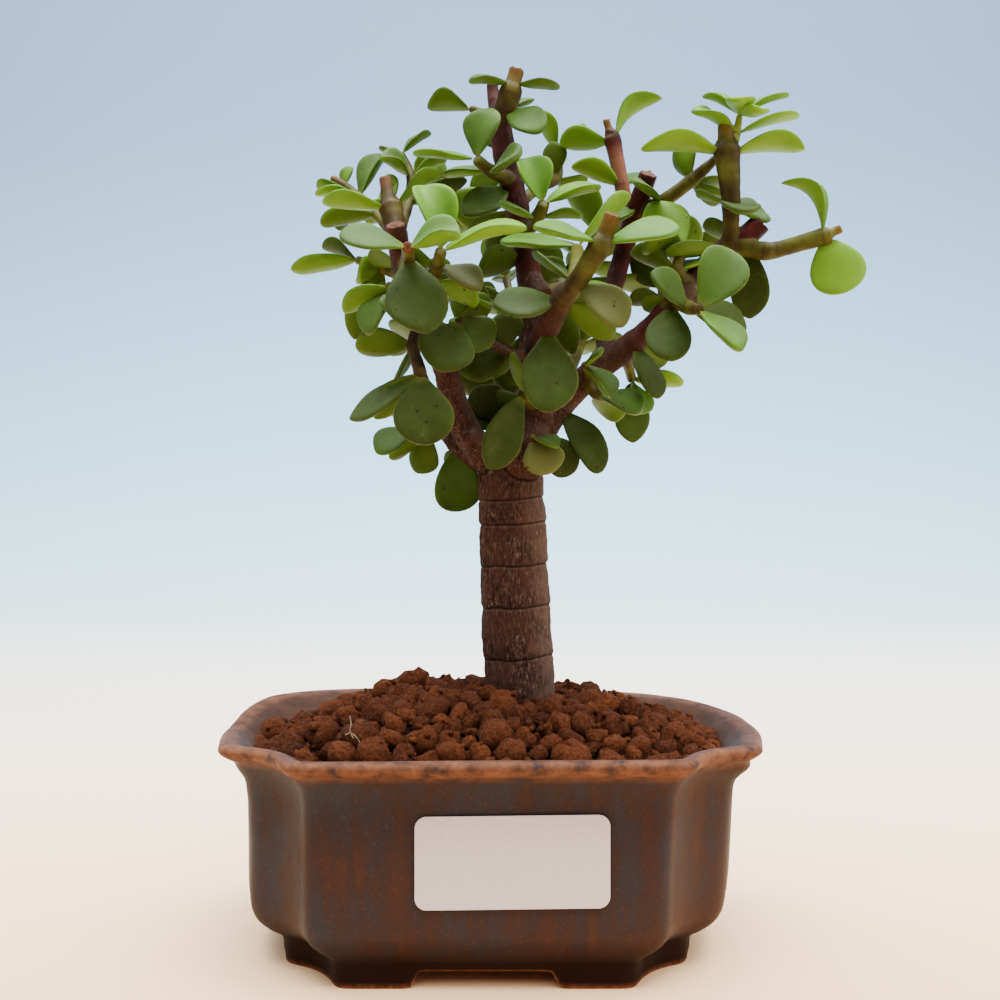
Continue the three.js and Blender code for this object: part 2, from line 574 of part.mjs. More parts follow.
function makeLeaf(node, radius, leaf, grow) {
  const [column, row, forward, width, face, arch] = leaf;
  const near = -node.y + forward;
  const tip = seen(column, row, near);
  const axis = tip.clone().sub(node).normalize();
  const base = node.clone().addScaledVector(axis, radius - 0.7);
  const length = base.distanceTo(tip);
  const facing = new THREE.Vector3(face[0], -face[1], face[2]);
  const normal = facing.addScaledVector(axis, -facing.dot(axis)).normalize();
  const side = axis.clone().cross(normal);
  const geometry = new THREE.SphereGeometry(1, leafSides, leafRings.length - 1);
  const position = geometry.attributes.position;
  const point = new THREE.Vector3();
  const rings = leafRings.length - 1;
  for (let i = 0; i < position.count; i += 1) {
    point.fromBufferAttribute(position, i);
    const ring = Math.round((Math.acos(THREE.MathUtils.clamp(-point.y, -1, 1)) / Math.PI) * rings);
    const along = leafRings[ring];
    const pole = ring === 0 || ring === rings;
    const reach = Math.hypot(point.x, point.z) || 1;
    const across = pole ? 0 : point.x / reach;
    const through = pole ? 0 : point.z / reach;
    const half = leafProfile(along);
    const halfWidth = (half * width) / 2 + grow;
    const taper = 0.55 + 0.45 * Math.sin(Math.PI * Math.min(1, along / leafWidest) * 0.5);
    const halfThickness = (leafThickness / 2) * taper * Math.sqrt(Math.min(1, half * 1.6)) + grow;
    const lift = leafCupShare * width * (across * half) ** 2 + arch * length * 4 * along * (1 - along);
    const stretch = along * length + (pole ? Math.sign(along - 0.5) * grow : 0);
    point.copy(base)
      .addScaledVector(axis, stretch)
      .addScaledVector(side, across * halfWidth)
      .addScaledVector(normal, through * halfThickness + lift);
    position.setXYZ(i, point.x, point.y, point.z);
  }
  return solidOf(geometry);
}

// The ring where the bases of a pair meet round the stem
function makeCollar(node, tangent, radius, grow) {
  const collar = new THREE.CylinderGeometry(radius + 1.5 + grow, radius + 1.5 + grow, 1.8 + 2 * grow, 6);
  collar.applyQuaternion(new THREE.Quaternion().setFromUnitVectors(new THREE.Vector3(0, 1, 0), tangent));
  collar.translate(node.x, node.y, node.z);
  return solidOf(collar);
}

function makeLeafPair(pair, grow) {
  const [, shootName, place, ...leaves] = pair;
  const nodes = shoots[shootName];
  const at = (i) => seen(...nodes[THREE.MathUtils.clamp(i, 0, nodes.length - 1)].slice(0, 3));
  const node = at(place);
  const tangent = at(place + 1).sub(at(place - 1)).normalize();
  const radius = nodes[place][3];
  let solid = makeLeaf(node, radius, leaves[0], grow);
  if (leaves.length > 1) {
    solid = solid.add(makeLeaf(node, radius, leaves[1], grow));
    solid = solid.add(makeCollar(node, tangent, radius, grow));
  }
  return solid;
}

// The soil: one heap from the pot's floor to a mound round the trunk.
function makeSoil(wood, others) {
  const level = inset(bodyLevel, 0, wallThickness + soilSideGap);
  const foot = inset(bodyLevel, 0, wallThickness + 2 + soilSideGap);
  const sides = [
    { ...foot, z: floorTop + clearance },
    { ...level, z: floorTop + 2.8 },
    { ...level, z: 38.6 },
    { ...rimHollow, length: 53.4, depth: 37.2, panel: 35.6, end: 20.8, z: soilRimHeight },
  ];
  const shares = [0.86, 0.64, 0.4, 0.16];
  const rim = sides[sides.length - 1];
  const rings = sides.length - 1 + shares.length;
  const outlines = sides.map(potOutline);
  const rimOutline = potOutline(rim);
  const heap = ringedSolid(outlineSides, rings, (turn, ring, across) => {
    const place = Math.round((((turn % 1) + 1) % 1) * outlineSides) % outlineSides;
    if (ring < sides.length) {
      const point = outlines[ring][place];
      return new THREE.Vector3(point.x * across, point.y * across, sides[ring].z);
    }
    const share = shares[ring - sides.length];
    const point = rimOutline[place];
    const lump = 0.9 * Math.sin(place * 2.3 + ring * 1.7) * Math.sin(place * 0.9 - ring);
    const rise = (soilMoundHeight - soilRimHeight) * (1 - share ** 1.8);
    const reach = share * across;
    return new THREE.Vector3(point.x * reach, point.y * reach, soilRimHeight + rise + lump);
  });
  return others.reduce((soil, other) => soil.subtract(other), heap.subtract(wood));
}

// The blank sticker
function makeLabel() {
  const halfWidth = labelWidth / 2;
  const halfHeight = labelHeight / 2;
  const shape = new THREE.Shape();
  shape.moveTo(-halfWidth + labelCorner, -halfHeight);
  shape.lineTo(halfWidth - labelCorner, -halfHeight);
  shape.absarc(halfWidth - labelCorner, -halfHeight + labelCorner, labelCorner, -Math.PI / 2, 0);
  shape.absarc(halfWidth - labelCorner, halfHeight - labelCorner, labelCorner, 0, Math.PI / 2);
  shape.absarc(-halfWidth + labelCorner, halfHeight - labelCorner, labelCorner, Math.PI / 2, Math.PI);
  shape.absarc(-halfWidth + labelCorner, -halfHeight + labelCorner, labelCorner, Math.PI, 1.5 * Math.PI);
  const sheet = new THREE.ExtrudeGeometry(shape, {
    depth: labelThickness,
    bevelEnabled: false,
    curveSegments: 5,
  });
  sheet.rotateX(Math.PI / 2);
  sheet.translate(labelCentre.x, -bodyLevel.depth - labelGap, labelCentre.y);
  return solidOf(sheet);
}

// Assembly

const wood = makeWood(0);
const woodClearance = makeWood(clearance);
const soilCutters = [];
addPiece('pot', makePot(), finish.glaze);
for (const [name, x] of [['left', -drainHoleOffset], ['right', drainHoleOffset]]) {
  const wire = makeWire(x);
  addPiece(`drain_screen_${name}`, makeScreen(x), finish.screen);
  addPiece(`drain_wire_${name}`, wire, finish.wire);
  soilCutters.push(makeScreen(x, clearance), makeWire(x, clearance));
}
addPiece('soil', makeSoil(woodClearance, soilCutters), finish.soil);
addPiece('trunk_and_branches', wood, finish.bark);
addPiece('blank_label', makeLabel(), finish.label);

let taken = woodClearance;
for (const pair of leafPairs) {
  const solid = largestBody(makeLeafPair(pair, 0).subtract(taken));
  addPiece(`leaves_${pair[0]}`, solid, finish.leaf);
  taken = taken.add(makeLeafPair(pair, clearance));
}

export default object;
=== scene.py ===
import bpy
import numpy as np
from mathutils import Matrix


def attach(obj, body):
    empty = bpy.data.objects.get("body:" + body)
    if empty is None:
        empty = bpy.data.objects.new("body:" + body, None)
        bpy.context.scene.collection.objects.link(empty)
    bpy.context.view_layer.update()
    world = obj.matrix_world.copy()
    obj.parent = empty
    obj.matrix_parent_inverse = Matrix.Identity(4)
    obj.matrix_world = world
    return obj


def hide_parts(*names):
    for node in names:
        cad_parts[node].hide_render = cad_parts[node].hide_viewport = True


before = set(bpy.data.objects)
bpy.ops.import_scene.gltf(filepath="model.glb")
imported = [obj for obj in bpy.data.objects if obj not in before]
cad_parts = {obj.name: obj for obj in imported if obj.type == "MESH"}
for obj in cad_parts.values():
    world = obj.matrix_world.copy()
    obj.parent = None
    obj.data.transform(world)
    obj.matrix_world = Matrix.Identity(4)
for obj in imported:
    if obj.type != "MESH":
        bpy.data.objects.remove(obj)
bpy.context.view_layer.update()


# The view. The plant was drawn from one photograph, so a place on it is given as the picture's
# column and row, and as millimetres towards the viewer from the plane through the pot's middle.
POT_MIDDLE = np.array([-10.9, 0.28, 0.0])
EYE_DISTANCE, EYE_HEIGHT, EYE_SIDE = 285.0, 97.0, 3.0
FOCAL, HORIZON, PICTURE, SENSOR = 1225.0, 515.0, 1000.0, 36.0
MM = 0.001


def seen(places):
    """Millimetre points of (column, row, near) places: the offset from the picture's middle, times
    the distance from the eye, over the focal length."""
    column, row, near = np.moveaxis(np.asarray(places, float), -1, 0)
    reach = EYE_DISTANCE - near
    x = EYE_SIDE + (column - PICTURE / 2) * reach / FOCAL
    z = EYE_HEIGHT - (row - HORIZON) * reach / FOCAL
    return np.stack([x, -near, z], -1) + POT_MIDDLE


camera = bpy.data.objects.new("camera", bpy.data.cameras.new("camera"))
bpy.context.scene.collection.objects.link(camera)
camera.location = (POT_MIDDLE + [EYE_SIDE, -EYE_DISTANCE, EYE_HEIGHT]) * MM
camera.rotation_euler = (np.pi / 2, 0.0, 0.0)
camera.data.sensor_width = SENSOR
camera.data.lens = SENSOR * FOCAL / PICTURE
camera.data.shift_y = (HORIZON - PICTURE / 2) / PICTURE
camera.data.clip_start = 0.01
camera.data.clip_end = 30.0
bpy.context.scene.camera = camera


# The room: a pale floor that runs back and turns up into a plain backdrop, as paper does on a
# photographer's table. Neither is part of the object.
def linear(colour):
    """The linear RGBA of an sRGB hex value, by the sRGB curve."""
    parts = np.array([int(colour[i:i + 2], 16) for i in (1, 3, 5)]) / 255.0
    parts = np.where(parts <= 0.04045, parts / 12.92, ((parts + 0.055) / 1.055) ** 2.4)
    return (*parts.tolist(), 1.0)


def add_node(tree, kind, inputs=None, stops=None, **settings):
    """Adds a node, sets its properties, and feeds its inputs: a socket is linked, and any other
    value is set. stops are a colour ramp's (place, hex) pairs."""
    made = tree.nodes.new(kind)
    for name, value in settings.items():
        setattr(made, name, value)
    for name, value in (inputs or {}).items():
        if isinstance(value, bpy.types.NodeSocket):
            tree.links.new(value, made.inputs[name])
        else:
            made.inputs[name].default_value = value
    if stops:
        elements = made.color_ramp.elements
        while len(elements) < len(stops):
            elements.new(1.0)
        for element, (place, colour) in zip(elements, stops):
            element.position = place
            element.color = linear(colour)
    return made


def new_material(name):
    """An empty node material: its tree, with the Principled shader already wired to the output."""
    material = bpy.data.materials.new(name)
    material.use_nodes = True
    tree = material.node_tree
    tree.nodes.clear()
    shader = add_node(tree, "ShaderNodeBsdfPrincipled")
    add_node(tree, "ShaderNodeOutputMaterial", {"Surface": shader.outputs["BSDF"]})
    return material, tree, shader


def put_mesh(name, points, faces, material, smooth=True):
    """A mesh object of these millimetre points and faces, at the origin, with this material."""
    mesh = bpy.data.meshes.new(name)
    mesh.from_pydata((points * MM).tolist(), [], faces)
    if smooth:
        mesh.shade_smooth()
    mesh.materials.append(material)
    made = bpy.data.objects.new(name, mesh)
    bpy.context.scene.collection.objects.link(made)
    return made


def add_values(made, name, values):
    """Stores one number for each vertex of a piece, for its material to read."""
    made.data.attributes.new(name, "FLOAT", "POINT").data.foreach_set(
        "value", np.ascontiguousarray(values, np.float32))


paper, tree, shader = new_material("pale_backdrop_paper")
run = add_node(tree, "ShaderNodeAttribute", attribute_name="run").outputs["Fac"]
along = add_node(tree, "ShaderNodeMapRange", {"Value": run, "From Min": -0.15, "From Max": 2.0})
# The paper is painted cream on the floor, nearly white at the turn and a darker blue up the wall;
# the darkening up the wall is painted shade of the light falling off.
shade = add_node(tree, "ShaderNodeValToRGB", {0: along.outputs[0]}, stops=[
    (0.0, "#a99c90"), (0.045, "#ffcd96"), (0.10, "#fbd7ae"), (0.22, "#efe2d6"), (0.42, "#d7ebec"),
    (0.64, "#90cce9"), (0.86, "#6f86a6")])
shade.color_ramp.interpolation = "B_SPLINE"
tree.links.new(shade.outputs[0], shader.inputs["Base Color"])
shader.inputs["Roughness"].default_value = 0.9

FLOOR_FRONT, FLOOR_BACK, TURN, WALL, HALF_WIDTH = -1500.0, 800.0, 600.0, 2600.0, 2600.0
floor_run = np.linspace(FLOOR_FRONT, FLOOR_BACK, 30)
turn = np.linspace(0, np.pi / 2, 24)[1:]
wall_run = np.linspace(0, WALL, 12)[1:]
sweep_y = np.concatenate([
    floor_run, FLOOR_BACK + TURN * np.sin(turn), FLOOR_BACK + TURN + 0 * wall_run])
sweep_z = np.concatenate([0 * floor_run, TURN * (1 - np.cos(turn)), TURN + wall_run])
length = np.concatenate([
    floor_run, FLOOR_BACK + TURN * turn, FLOOR_BACK + TURN * np.pi / 2 + wall_run])
across = np.linspace(-HALF_WIDTH, HALF_WIDTH, 12)
grid = np.stack(np.broadcast_arrays(across[None], sweep_y[:, None], sweep_z[:, None]), -1)
index = np.arange(grid[..., 0].size).reshape(grid.shape[:2])
corners = [index[:-1, :-1], index[:-1, 1:], index[1:, 1:], index[1:, :-1]]
quads = np.stack(corners, -1).reshape(-1, 4)
backdrop = put_mesh("backdrop", grid.reshape(-1, 3), quads.tolist(), paper)
add_values(backdrop, "run", np.repeat(length * MM, len(across)))


# The light: a big soft box high in front, another overhead, a small one on each side, two that
# only light the paper behind, and a faint even glow.
def soft_box(name, place, aim, size, power, colour):
    """A rectangular area light at place whose own -Z looks at aim, both in millimetres."""
    lamp = bpy.data.lights.new(name, "AREA")
    lamp.shape = "RECTANGLE"
    lamp.size, lamp.size_y = size
    lamp.energy = power
    lamp.color = linear(colour)[:3]
    made = bpy.data.objects.new(name, lamp)
    bpy.context.scene.collection.objects.link(made)
    back = np.array(place, float) - np.array(aim, float)
    back /= np.linalg.norm(back)
    right = np.cross([0.0, 1.0, 0.0] if abs(back[2]) > 0.95 else [0.0, 0.0, 1.0], back)
    right /= np.linalg.norm(right)
    matrix = np.eye(4)
    matrix[:3, :3] = np.stack([right, np.cross(back, right), back], 1)
    matrix[:3, 3] = np.array(place) * MM
    made.matrix_world = matrix.T.tolist()


soft_box("key_light", (60, -820, 1000), (0, 0, 100), (1.3, 0.8), 10.0, "#fffaf2")
soft_box("top_light", (40, -160, 1150), (0, 0, 100), (1.2, 0.9), 46.0, "#fffdfa")
soft_box("left_light", (-950, -250, 450), (0, 0, 110), (0.6, 0.9), 4.5, "#f2f7ff")
soft_box("right_light", (950, -250, 480), (0, 0, 110), (0.6, 0.9), 12.0, "#fffaf4")
soft_box("paper_light_low", (0, 380, 1250), (0, 1150, 60), (2.2, 0.6), 60.0, "#ffffff")
soft_box("paper_light_high", (0, 500, 1700), (0, 1400, 700), (2.2, 0.6), 3.0, "#ffffff")
world = bpy.data.worlds.new("even_glow")
bpy.context.scene.world = world
world.use_nodes = True
world.node_tree.nodes["Background"].inputs["Color"].default_value = linear("#e9eff4")
world.node_tree.nodes["Background"].inputs["Strength"].default_value = 0.2


# The pot: stoneware pressed in a lobed mould, with a rolled lip, straight front and back panels,
# rounded ends and a foot ring that arches make into four feet. Dipped in an iron glaze that
# breaks from rust to olive and blue-grey, and wiped bare where it stands.
POT_LEVELS = np.array([
    # height, half length, half depth, half length of the straight panel, half depth of the end
    [0.0, 46.8, 34.3, 30.6, 17.8],
    [2.6, 47.0, 34.5, 30.8, 18.0],
    [5.0, 47.4, 34.9, 31.0, 18.2],
    [6.4, 48.6, 35.7, 31.9, 18.7],
    [7.6, 50.8, 36.7, 33.4, 19.5],
    [10.0, 53.4, 37.7, 35.6, 20.4],
    [14.0, 54.6, 38.3, 36.3, 21.0],
    [24.0, 54.8, 38.4, 36.4, 21.1],
    [36.0, 55.0, 38.5, 36.4, 21.2],
    [41.2, 56.0, 39.6, 36.8, 22.0],
    [43.8, 57.6, 41.8, 37.6, 23.2],
    [45.0, 59.8, 44.2, 38.5, 24.6],
    [45.9, 61.2, 45.4, 39.0, 25.3],
    [46.8, 61.6, 45.8, 39.2, 25.6],
    [47.6, 61.1, 45.4, 39.0, 25.3],
    [48.0, 60.0, 44.4, 38.7, 24.7],
])
LIP_INSIDE = np.array([
    [47.7, 57.8, 41.9, 37.6, 23.0],
    [46.9, 56.0, 39.9, 36.7, 21.8],
    [45.6, 54.0, 37.7, 35.6, 20.4],
    [43.2, 51.7, 35.2, 34.3, 18.9],
    [38.0, 49.8, 33.3, 33.3, 18.1],
    [13.5, 49.6, 33.1, 33.2, 18.0],
    [11.6, 48.6, 32.2, 32.7, 17.6],
    [11.0, 46.4, 30.2, 31.4, 16.6],
])
FOOT_INSIDE = np.array([
    [5.0, 39.0, 26.6, 26.4, 13.6],
    [4.6, 39.6, 27.1, 26.7, 13.9],
    [2.4, 40.0, 27.4, 26.9, 14.1],
    [0.0, 40.4, 27.8, 27.1, 14.3],
])
ARCH_HEIGHT, ARCH_LENGTH, ARCH_DEPTH, ARCH_SLOPE, FOOT_HEIGHT = 3.7, 14.6, 8.0, 2.4, 5.0
# What sets the real pot apart from its mould: the wiped back of the lip, the wobble of the walls,
# the waves of the lip, the lean to the right, the raised front and the flare of the ends.
WIPE_POWER, WIPE_HEIGHT, WIPE_BAND, WIPE_DEPTH = 3.2, 41.0, 4.0, 12.0
CLOSING = np.array([0.0, 0.4, 0.75])[:, None, None]
WOBBLE, WOBBLE_SIZE, POT_RADIUS = 0.16, 46.0, 46.0
LIP_FROM, LIP_BAND, LIP_WAVE, LIP_WAVE_SIZE = 38.0, 6.0, 0.18, 60.0
WALL_LEAN, FRONT_RISE, FLARE_HEIGHT, FLARE_BAND = 1.6, 0.6, 42.6, 1.7
# The first is how strongly the inside of the lip is painted darker, as painted shade.
INNER_PAINTED_SHADE, SHARP_ANGLE = 0.8, 55.0


def smooth_rows(table, per_span):
    """Rows in between a table's rows, by the Catmull-Rom curve through them: each span is the
    cubic whose end slopes are half the difference of the rows on each side."""
    padded = np.concatenate([2 * table[:1] - table[1:2], table, 2 * table[-1:] - table[-2:-1]])
    spans = len(table) - 1
    share = np.arange(per_span)[None, :, None] / per_span
    p0, p1, p2, p3 = (padded[i:i + spans, None, :] for i in range(4))
    rows = 0.5 * (2 * p1 + (p2 - p0) * share + (2 * p0 - 5 * p1 + 4 * p2 - p3) * share ** 2
                  + (3 * p1 - p0 - 3 * p2 + p3) * share ** 3)
    return np.concatenate([rows.reshape(-1, table.shape[1]), table[-1:]])


def lobed_outline(levels, fine=10, soften=2):
    """The pot's outline at each level, as rows of XY points. A quarter is a straight line, a cubic
    Bezier curve into the notch, a quadratic one round the lobe's corner and one along the bulging
    end. It is mirrored and turned into the whole, and each point is then softened by an average
    with its neighbours."""
    length, depth, panel, end = (levels[:, i:i + 1] for i in range(1, 5))
    corner = length * 0.94
    line = np.linspace(0, 1, 2 * fine, endpoint=False)[None, :]
    t = np.linspace(0, 1, fine, endpoint=False)[None, :]
    half = np.linspace(0, 1, fine * 3 // 4, endpoint=False)[None, :]

    def cubic(a, b, c, d):
        return a * (1 - t) ** 3 + 3 * b * t * (1 - t) ** 2 + 3 * c * t ** 2 * (1 - t) + d * t ** 3

    def quadratic(a, b, c):
        return a * (1 - half) ** 2 + 2 * b * half * (1 - half) + c * half ** 2

    x = np.concatenate([
        panel * line, cubic(panel, panel + 1.4, panel + 4.6, corner - 3.6),
        quadratic(corner - 3.6, corner, corner + 0.3), quadratic(corner + 0.3, length, length),
    ], 1)
    y = np.concatenate([
        depth + 0 * line, cubic(depth, depth - 5.4, end + 5.4, end + 3.4),
        quadratic(end + 3.4, end + 2.4, end - 3.6), quadratic(end - 3.6, end * 0.35, 0 * end),
    ], 1)
    x = np.concatenate([x, length, x[:, :0:-1]], 1)
    y = np.concatenate([-y, 0 * length, y[:, :0:-1]], 1)
    outline = np.stack([np.concatenate([x, -x], 1), np.concatenate([y, -y], 1)], -1)
    for _ in range(soften):
        outline = (np.roll(outline, 1, 1) + 2 * outline + np.roll(outline, -1, 1)) / 4
    return outline


def closed_surfaces(grids):
    """Points and faces of closed surfaces, each a grid of rows by columns. Columns wrap round, the
    first and last row each sit at one point, and between them neighbours make four-sided faces.
    The winding is turned round where the signed volume of the first surface comes out negative."""
    points, faces, start = [], [], 0
    for grid in grids:
        rows, columns = grid.shape[:2]
        points.append(np.concatenate([grid[:1, 0], grid[1:-1].reshape(-1, 3), grid[-1:, 0]]))
        here = np.arange(columns)
        after = np.roll(here, -1)
        ring = 1 + columns * np.arange(rows - 3)[:, None]
        quads = np.stack(
            [ring + here, ring + after, ring + columns + after, ring + columns + here], -1)
        first, last = 1, 1 + columns * (rows - 3)
        fans = np.concatenate([
            np.stack([0 * here, first + after, first + here], -1),
            np.stack([0 * here + last + columns, last + here, last + after], -1),
        ])
        faces += [quads.reshape(-1, 4) + start, fans + start]
        start += len(points[-1])
    placed = np.concatenate(points)
    first_faces = np.concatenate([faces[0][:, [0, 1, 2]], faces[0][:, [0, 2, 3]], faces[1]])
    a, b, c = (placed[first_faces[:, i]] for i in range(3))
    if np.einsum("ij,ij->i", a, np.cross(b, c)).sum() < 0:
        faces = [f[:, ::-1] for f in faces]
    return placed, [face for block in faces for face in block.tolist()]


def ripple(points, size, seed, waves=14):
    """Smooth noise between about -1 and 1: the mean of sine waves with seeded directions and
    phases, whose wavelengths lie round the given size."""
    chance = np.random.default_rng(seed)
    way = chance.normal(size=(points.shape[-1], waves))
    way *= 2 * np.pi / (size * chance.uniform(0.7, 1.6, waves)) / np.linalg.norm(way, axis=0)
    return np.sin(points @ way + chance.uniform(0, 2 * np.pi, waves)).sum(-1) / np.sqrt(waves) * 0.8


outside = smooth_rows(POT_LEVELS, 4)
inside = smooth_rows(LIP_INSIDE, 4)
under = smooth_rows(FOOT_INSIDE, 3)
ceiling, floor_top = (np.repeat(row, len(CLOSING), 0) for row in (under[:1], inside[-1:]))
levels = np.concatenate([ceiling, under, outside, inside, floor_top])
under_rows = len(ceiling) + len(under)
past_crest = np.arange(len(levels))[:, None] - (under_rows + len(outside))
outline = lobed_outline(levels)
# At the back the lip's notches were wiped smooth, to a superellipse: each point moves along its
# own radius until its two shares of the half axes, to the wipe's power, add up to 1.
axes = levels[:, None, 1:3]
wiped = outline / (abs(outline / axes) ** WIPE_POWER).sum(-1, keepdims=True) ** (1 / WIPE_POWER)
wipe = (np.clip((levels[:, :1] - WIPE_HEIGHT) / WIPE_BAND, 0, 1)
        * np.clip(outline[..., 1] / WIPE_DEPTH, 0, 1))
outline = outline + (wiped - outline) * wipe[..., None]
# The floor closes to a point at its middle, above and below.
outline[:3] *= CLOSING
outline[-3:] *= CLOSING[::-1]
heights = np.repeat(levels[:, :1], outline.shape[1], 1)
x, y = outline[..., 0], outline[..., 1]
front_arch = np.clip((ARCH_LENGTH + ARCH_SLOPE / 2 - abs(x)) / ARCH_SLOPE, 0, 1)
end_arch = np.clip((ARCH_DEPTH + ARCH_SLOPE / 2 - abs(y)) / ARCH_SLOPE, 0, 1)
arch = np.maximum(front_arch, end_arch)
arch = arch ** 2 * (3 - 2 * arch)
lift = arch * ARCH_HEIGHT * np.clip(1 - heights / FOOT_HEIGHT, 0, 1)
pot_grid = np.stack([x, y, heights + lift], -1)
wobble = WOBBLE * ripple(pot_grid, WOBBLE_SIZE, 5) * np.clip((heights - 3) / 5, 0, 1)
pot_grid[..., :2] *= 1 + (wobble / POT_RADIUS)[..., None]
near_lip = np.clip((heights - LIP_FROM) / LIP_BAND, 0, 1)
pot_grid[..., 2] += LIP_WAVE * ripple(pot_grid, LIP_WAVE_SIZE, 6) * near_lip
# Firing left the right-hand wall leaning out, the lip a millimetre to the right and its notches
# further apart, the lip's front a little high and its back higher, most so on the left.
lean = WALL_LEAN * np.clip(heights / LIP_FROM, 0, 1) * np.clip(x / 35, 0, 1) * (heights > 6)
lip_shift = np.interp(x, [-62, -50, -38, -20, 0, 20, 38, 50, 62],
                      [1, 0.6, -0.1, 0.3, 0.6, 1.4, 2.4, 1.6, 1])
pot_grid[..., 0] += np.where(near_lip > 0, lip_shift * near_lip + lean * (1 - near_lip), lean)
back_rise = np.interp(x, [-45, -36, 0, 36, 50, 58], [3.0, 2.9, 2.2, 1.5, 1.0, 0.3])
rise = np.clip(y / 28, 0, 1) * back_rise + np.clip(-y / 40, 0, 1) * FRONT_RISE
pot_grid[..., 2] += near_lip * rise
# The ends flare into the lip with less of a hollow below it than the front has, the right most.
flare = np.interp(x, [-50, -38, 38, 50], [1.0, 0, 0, 2.2]) * (past_crest < 0)
flare *= np.exp(-((heights - FLARE_HEIGHT) / FLARE_BAND) ** 2)
pot_grid[..., 0] += np.sign(x) * flare
pot_points, pot_faces = closed_surfaces([pot_grid + POT_MIDDLE])

glaze, tree, shader = new_material("iron_glaze_on_stoneware")
where = add_node(tree, "ShaderNodeTexCoord").outputs["Object"]
# Streaks 3 mm wide that ran down 17 mm as the glaze melted, and clouds about 12 mm across.
runs = add_node(tree, "ShaderNodeMapping", {"Vector": where, "Scale": (330.0, 330.0, 60.0)})
streaks = add_node(tree, "ShaderNodeTexNoise", {"Vector": runs.outputs[0], "Scale": 1.0,
                                                "Detail": 6.0, "Roughness": 0.62,
                                                "Distortion": 0.25})
cloud_map = add_node(tree, "ShaderNodeMapping", {"Vector": where, "Scale": (85.0, 85.0, 60.0)})
clouds = add_node(tree, "ShaderNodeTexNoise", {"Vector": cloud_map.outputs[0], "Scale": 1.0,
                                               "Detail": 5.0, "Roughness": 0.6})
blend = add_node(tree, "ShaderNodeMix", {0: 0.5, 2: streaks.outputs[0], 3: clouds.outputs[0]})
# Towards the right-hand end the glaze turns a redder brown, and towards the lip a darker blue-grey.
place = add_node(tree, "ShaderNodeSeparateXYZ", {0: where})
warmth = add_node(tree, "ShaderNodeMapRange", {"Value": place.outputs["X"], "From Min": -0.07,
                                               "From Max": 0.055, "To Min": -0.045, "To Max": 0.06})
coolness = add_node(tree, "ShaderNodeMapRange", {"Value": place.outputs["Z"], "From Min": 0.012,
                                                 "From Max": 0.042, "To Min": 0.02,
                                                 "To Max": -0.035})
warm_shift = add_node(tree, "ShaderNodeMath", {0: warmth.outputs[0], 1: coolness.outputs[0]},
                operation="ADD")
warmed = add_node(tree, "ShaderNodeMath", {0: blend.outputs[0], 1: warm_shift.outputs[0]},
                  operation="ADD")
breaking = add_node(tree, "ShaderNodeValToRGB", {0: warmed.outputs[0]}, stops=[
    (0.37, "#25262d"), (0.45, "#282327"), (0.52, "#2d201e"), (0.59, "#34201a"), (0.70, "#3d281e")])
# Iron crystals: rust specks of about half a millimetre, all over the glaze.
specks = add_node(tree, "ShaderNodeTexNoise", {"Vector": where, "Scale": 1500.0, "Detail": 3.0})
speck_mask = add_node(tree, "ShaderNodeMapRange", {"Value": specks.outputs[0], "From Min": 0.58,
                                                   "From Max": 0.72, "To Max": 0.4})
specked = add_node(tree, "ShaderNodeMix", {0: speck_mask.outputs[0], 6: breaking.outputs[0],
                                           7: linear("#552f1a")}, data_type="RGBA")
# The lip, where the glaze drained thin and turned a redder brown with blue-black flecks.
height = place.outputs["Z"]
lip = add_node(tree, "ShaderNodeMapRange", {"Value": height, "From Min": 0.0432,
                                            "From Max": 0.0455})
lip_flecks = add_node(tree, "ShaderNodeTexNoise", {"Vector": where, "Scale": 260.0, "Detail": 4.0,
                                                   "Roughness": 0.7})
lip_colour = add_node(tree, "ShaderNodeValToRGB", {0: lip_flecks.outputs[0]}, stops=[
    (0.34, "#282a36"), (0.38, "#442e25"), (0.50, "#5c3d2e"), (0.72, "#764e38")])
# Painted shade: from the lip's crest inwards the colour is darkened to a dull dark brown.
in_shade = add_node(tree, "ShaderNodeAttribute", attribute_name="inner").outputs["Fac"]
lip_painted_shade = add_node(tree, "ShaderNodeMix", {0: in_shade, 6: lip_colour.outputs[0],
                                              7: linear("#2a1e18")}, data_type="RGBA")
with_lip = add_node(tree, "ShaderNodeMix", {0: lip.outputs[0], 6: specked.outputs[2],
                                            7: lip_painted_shade.outputs[2]}, data_type="RGBA")
# Nearly black over the band just above the feet, darkest at the bottom of it.
foot_band = add_node(tree, "ShaderNodeMapRange", {"Value": height, "From Min": 0.0115,
                                             "From Max": 0.0055, "To Max": 0.92})
with_foot_band = add_node(tree, "ShaderNodeMix", {0: foot_band.outputs[0], 6: with_lip.outputs[2],
                                             7: linear("#170805")}, data_type="RGBA")
# Bare orange clay where the foot was wiped.
bare = add_node(tree, "ShaderNodeAttribute", attribute_name="bare")
clay_grain = add_node(tree, "ShaderNodeTexNoise", {"Vector": where, "Scale": 900.0, "Detail": 4.0})
clay = add_node(tree, "ShaderNodeValToRGB", {0: clay_grain.outputs[0]},
                stops=[(0.35, "#5e3523"), (0.7, "#8a5437")])
whole = add_node(tree, "ShaderNodeMix", {0: bare.outputs["Fac"], 6: with_foot_band.outputs[2],
                                         7: clay.outputs[0]}, data_type="RGBA")
tree.links.new(whole.outputs[2], shader.inputs["Base Color"])
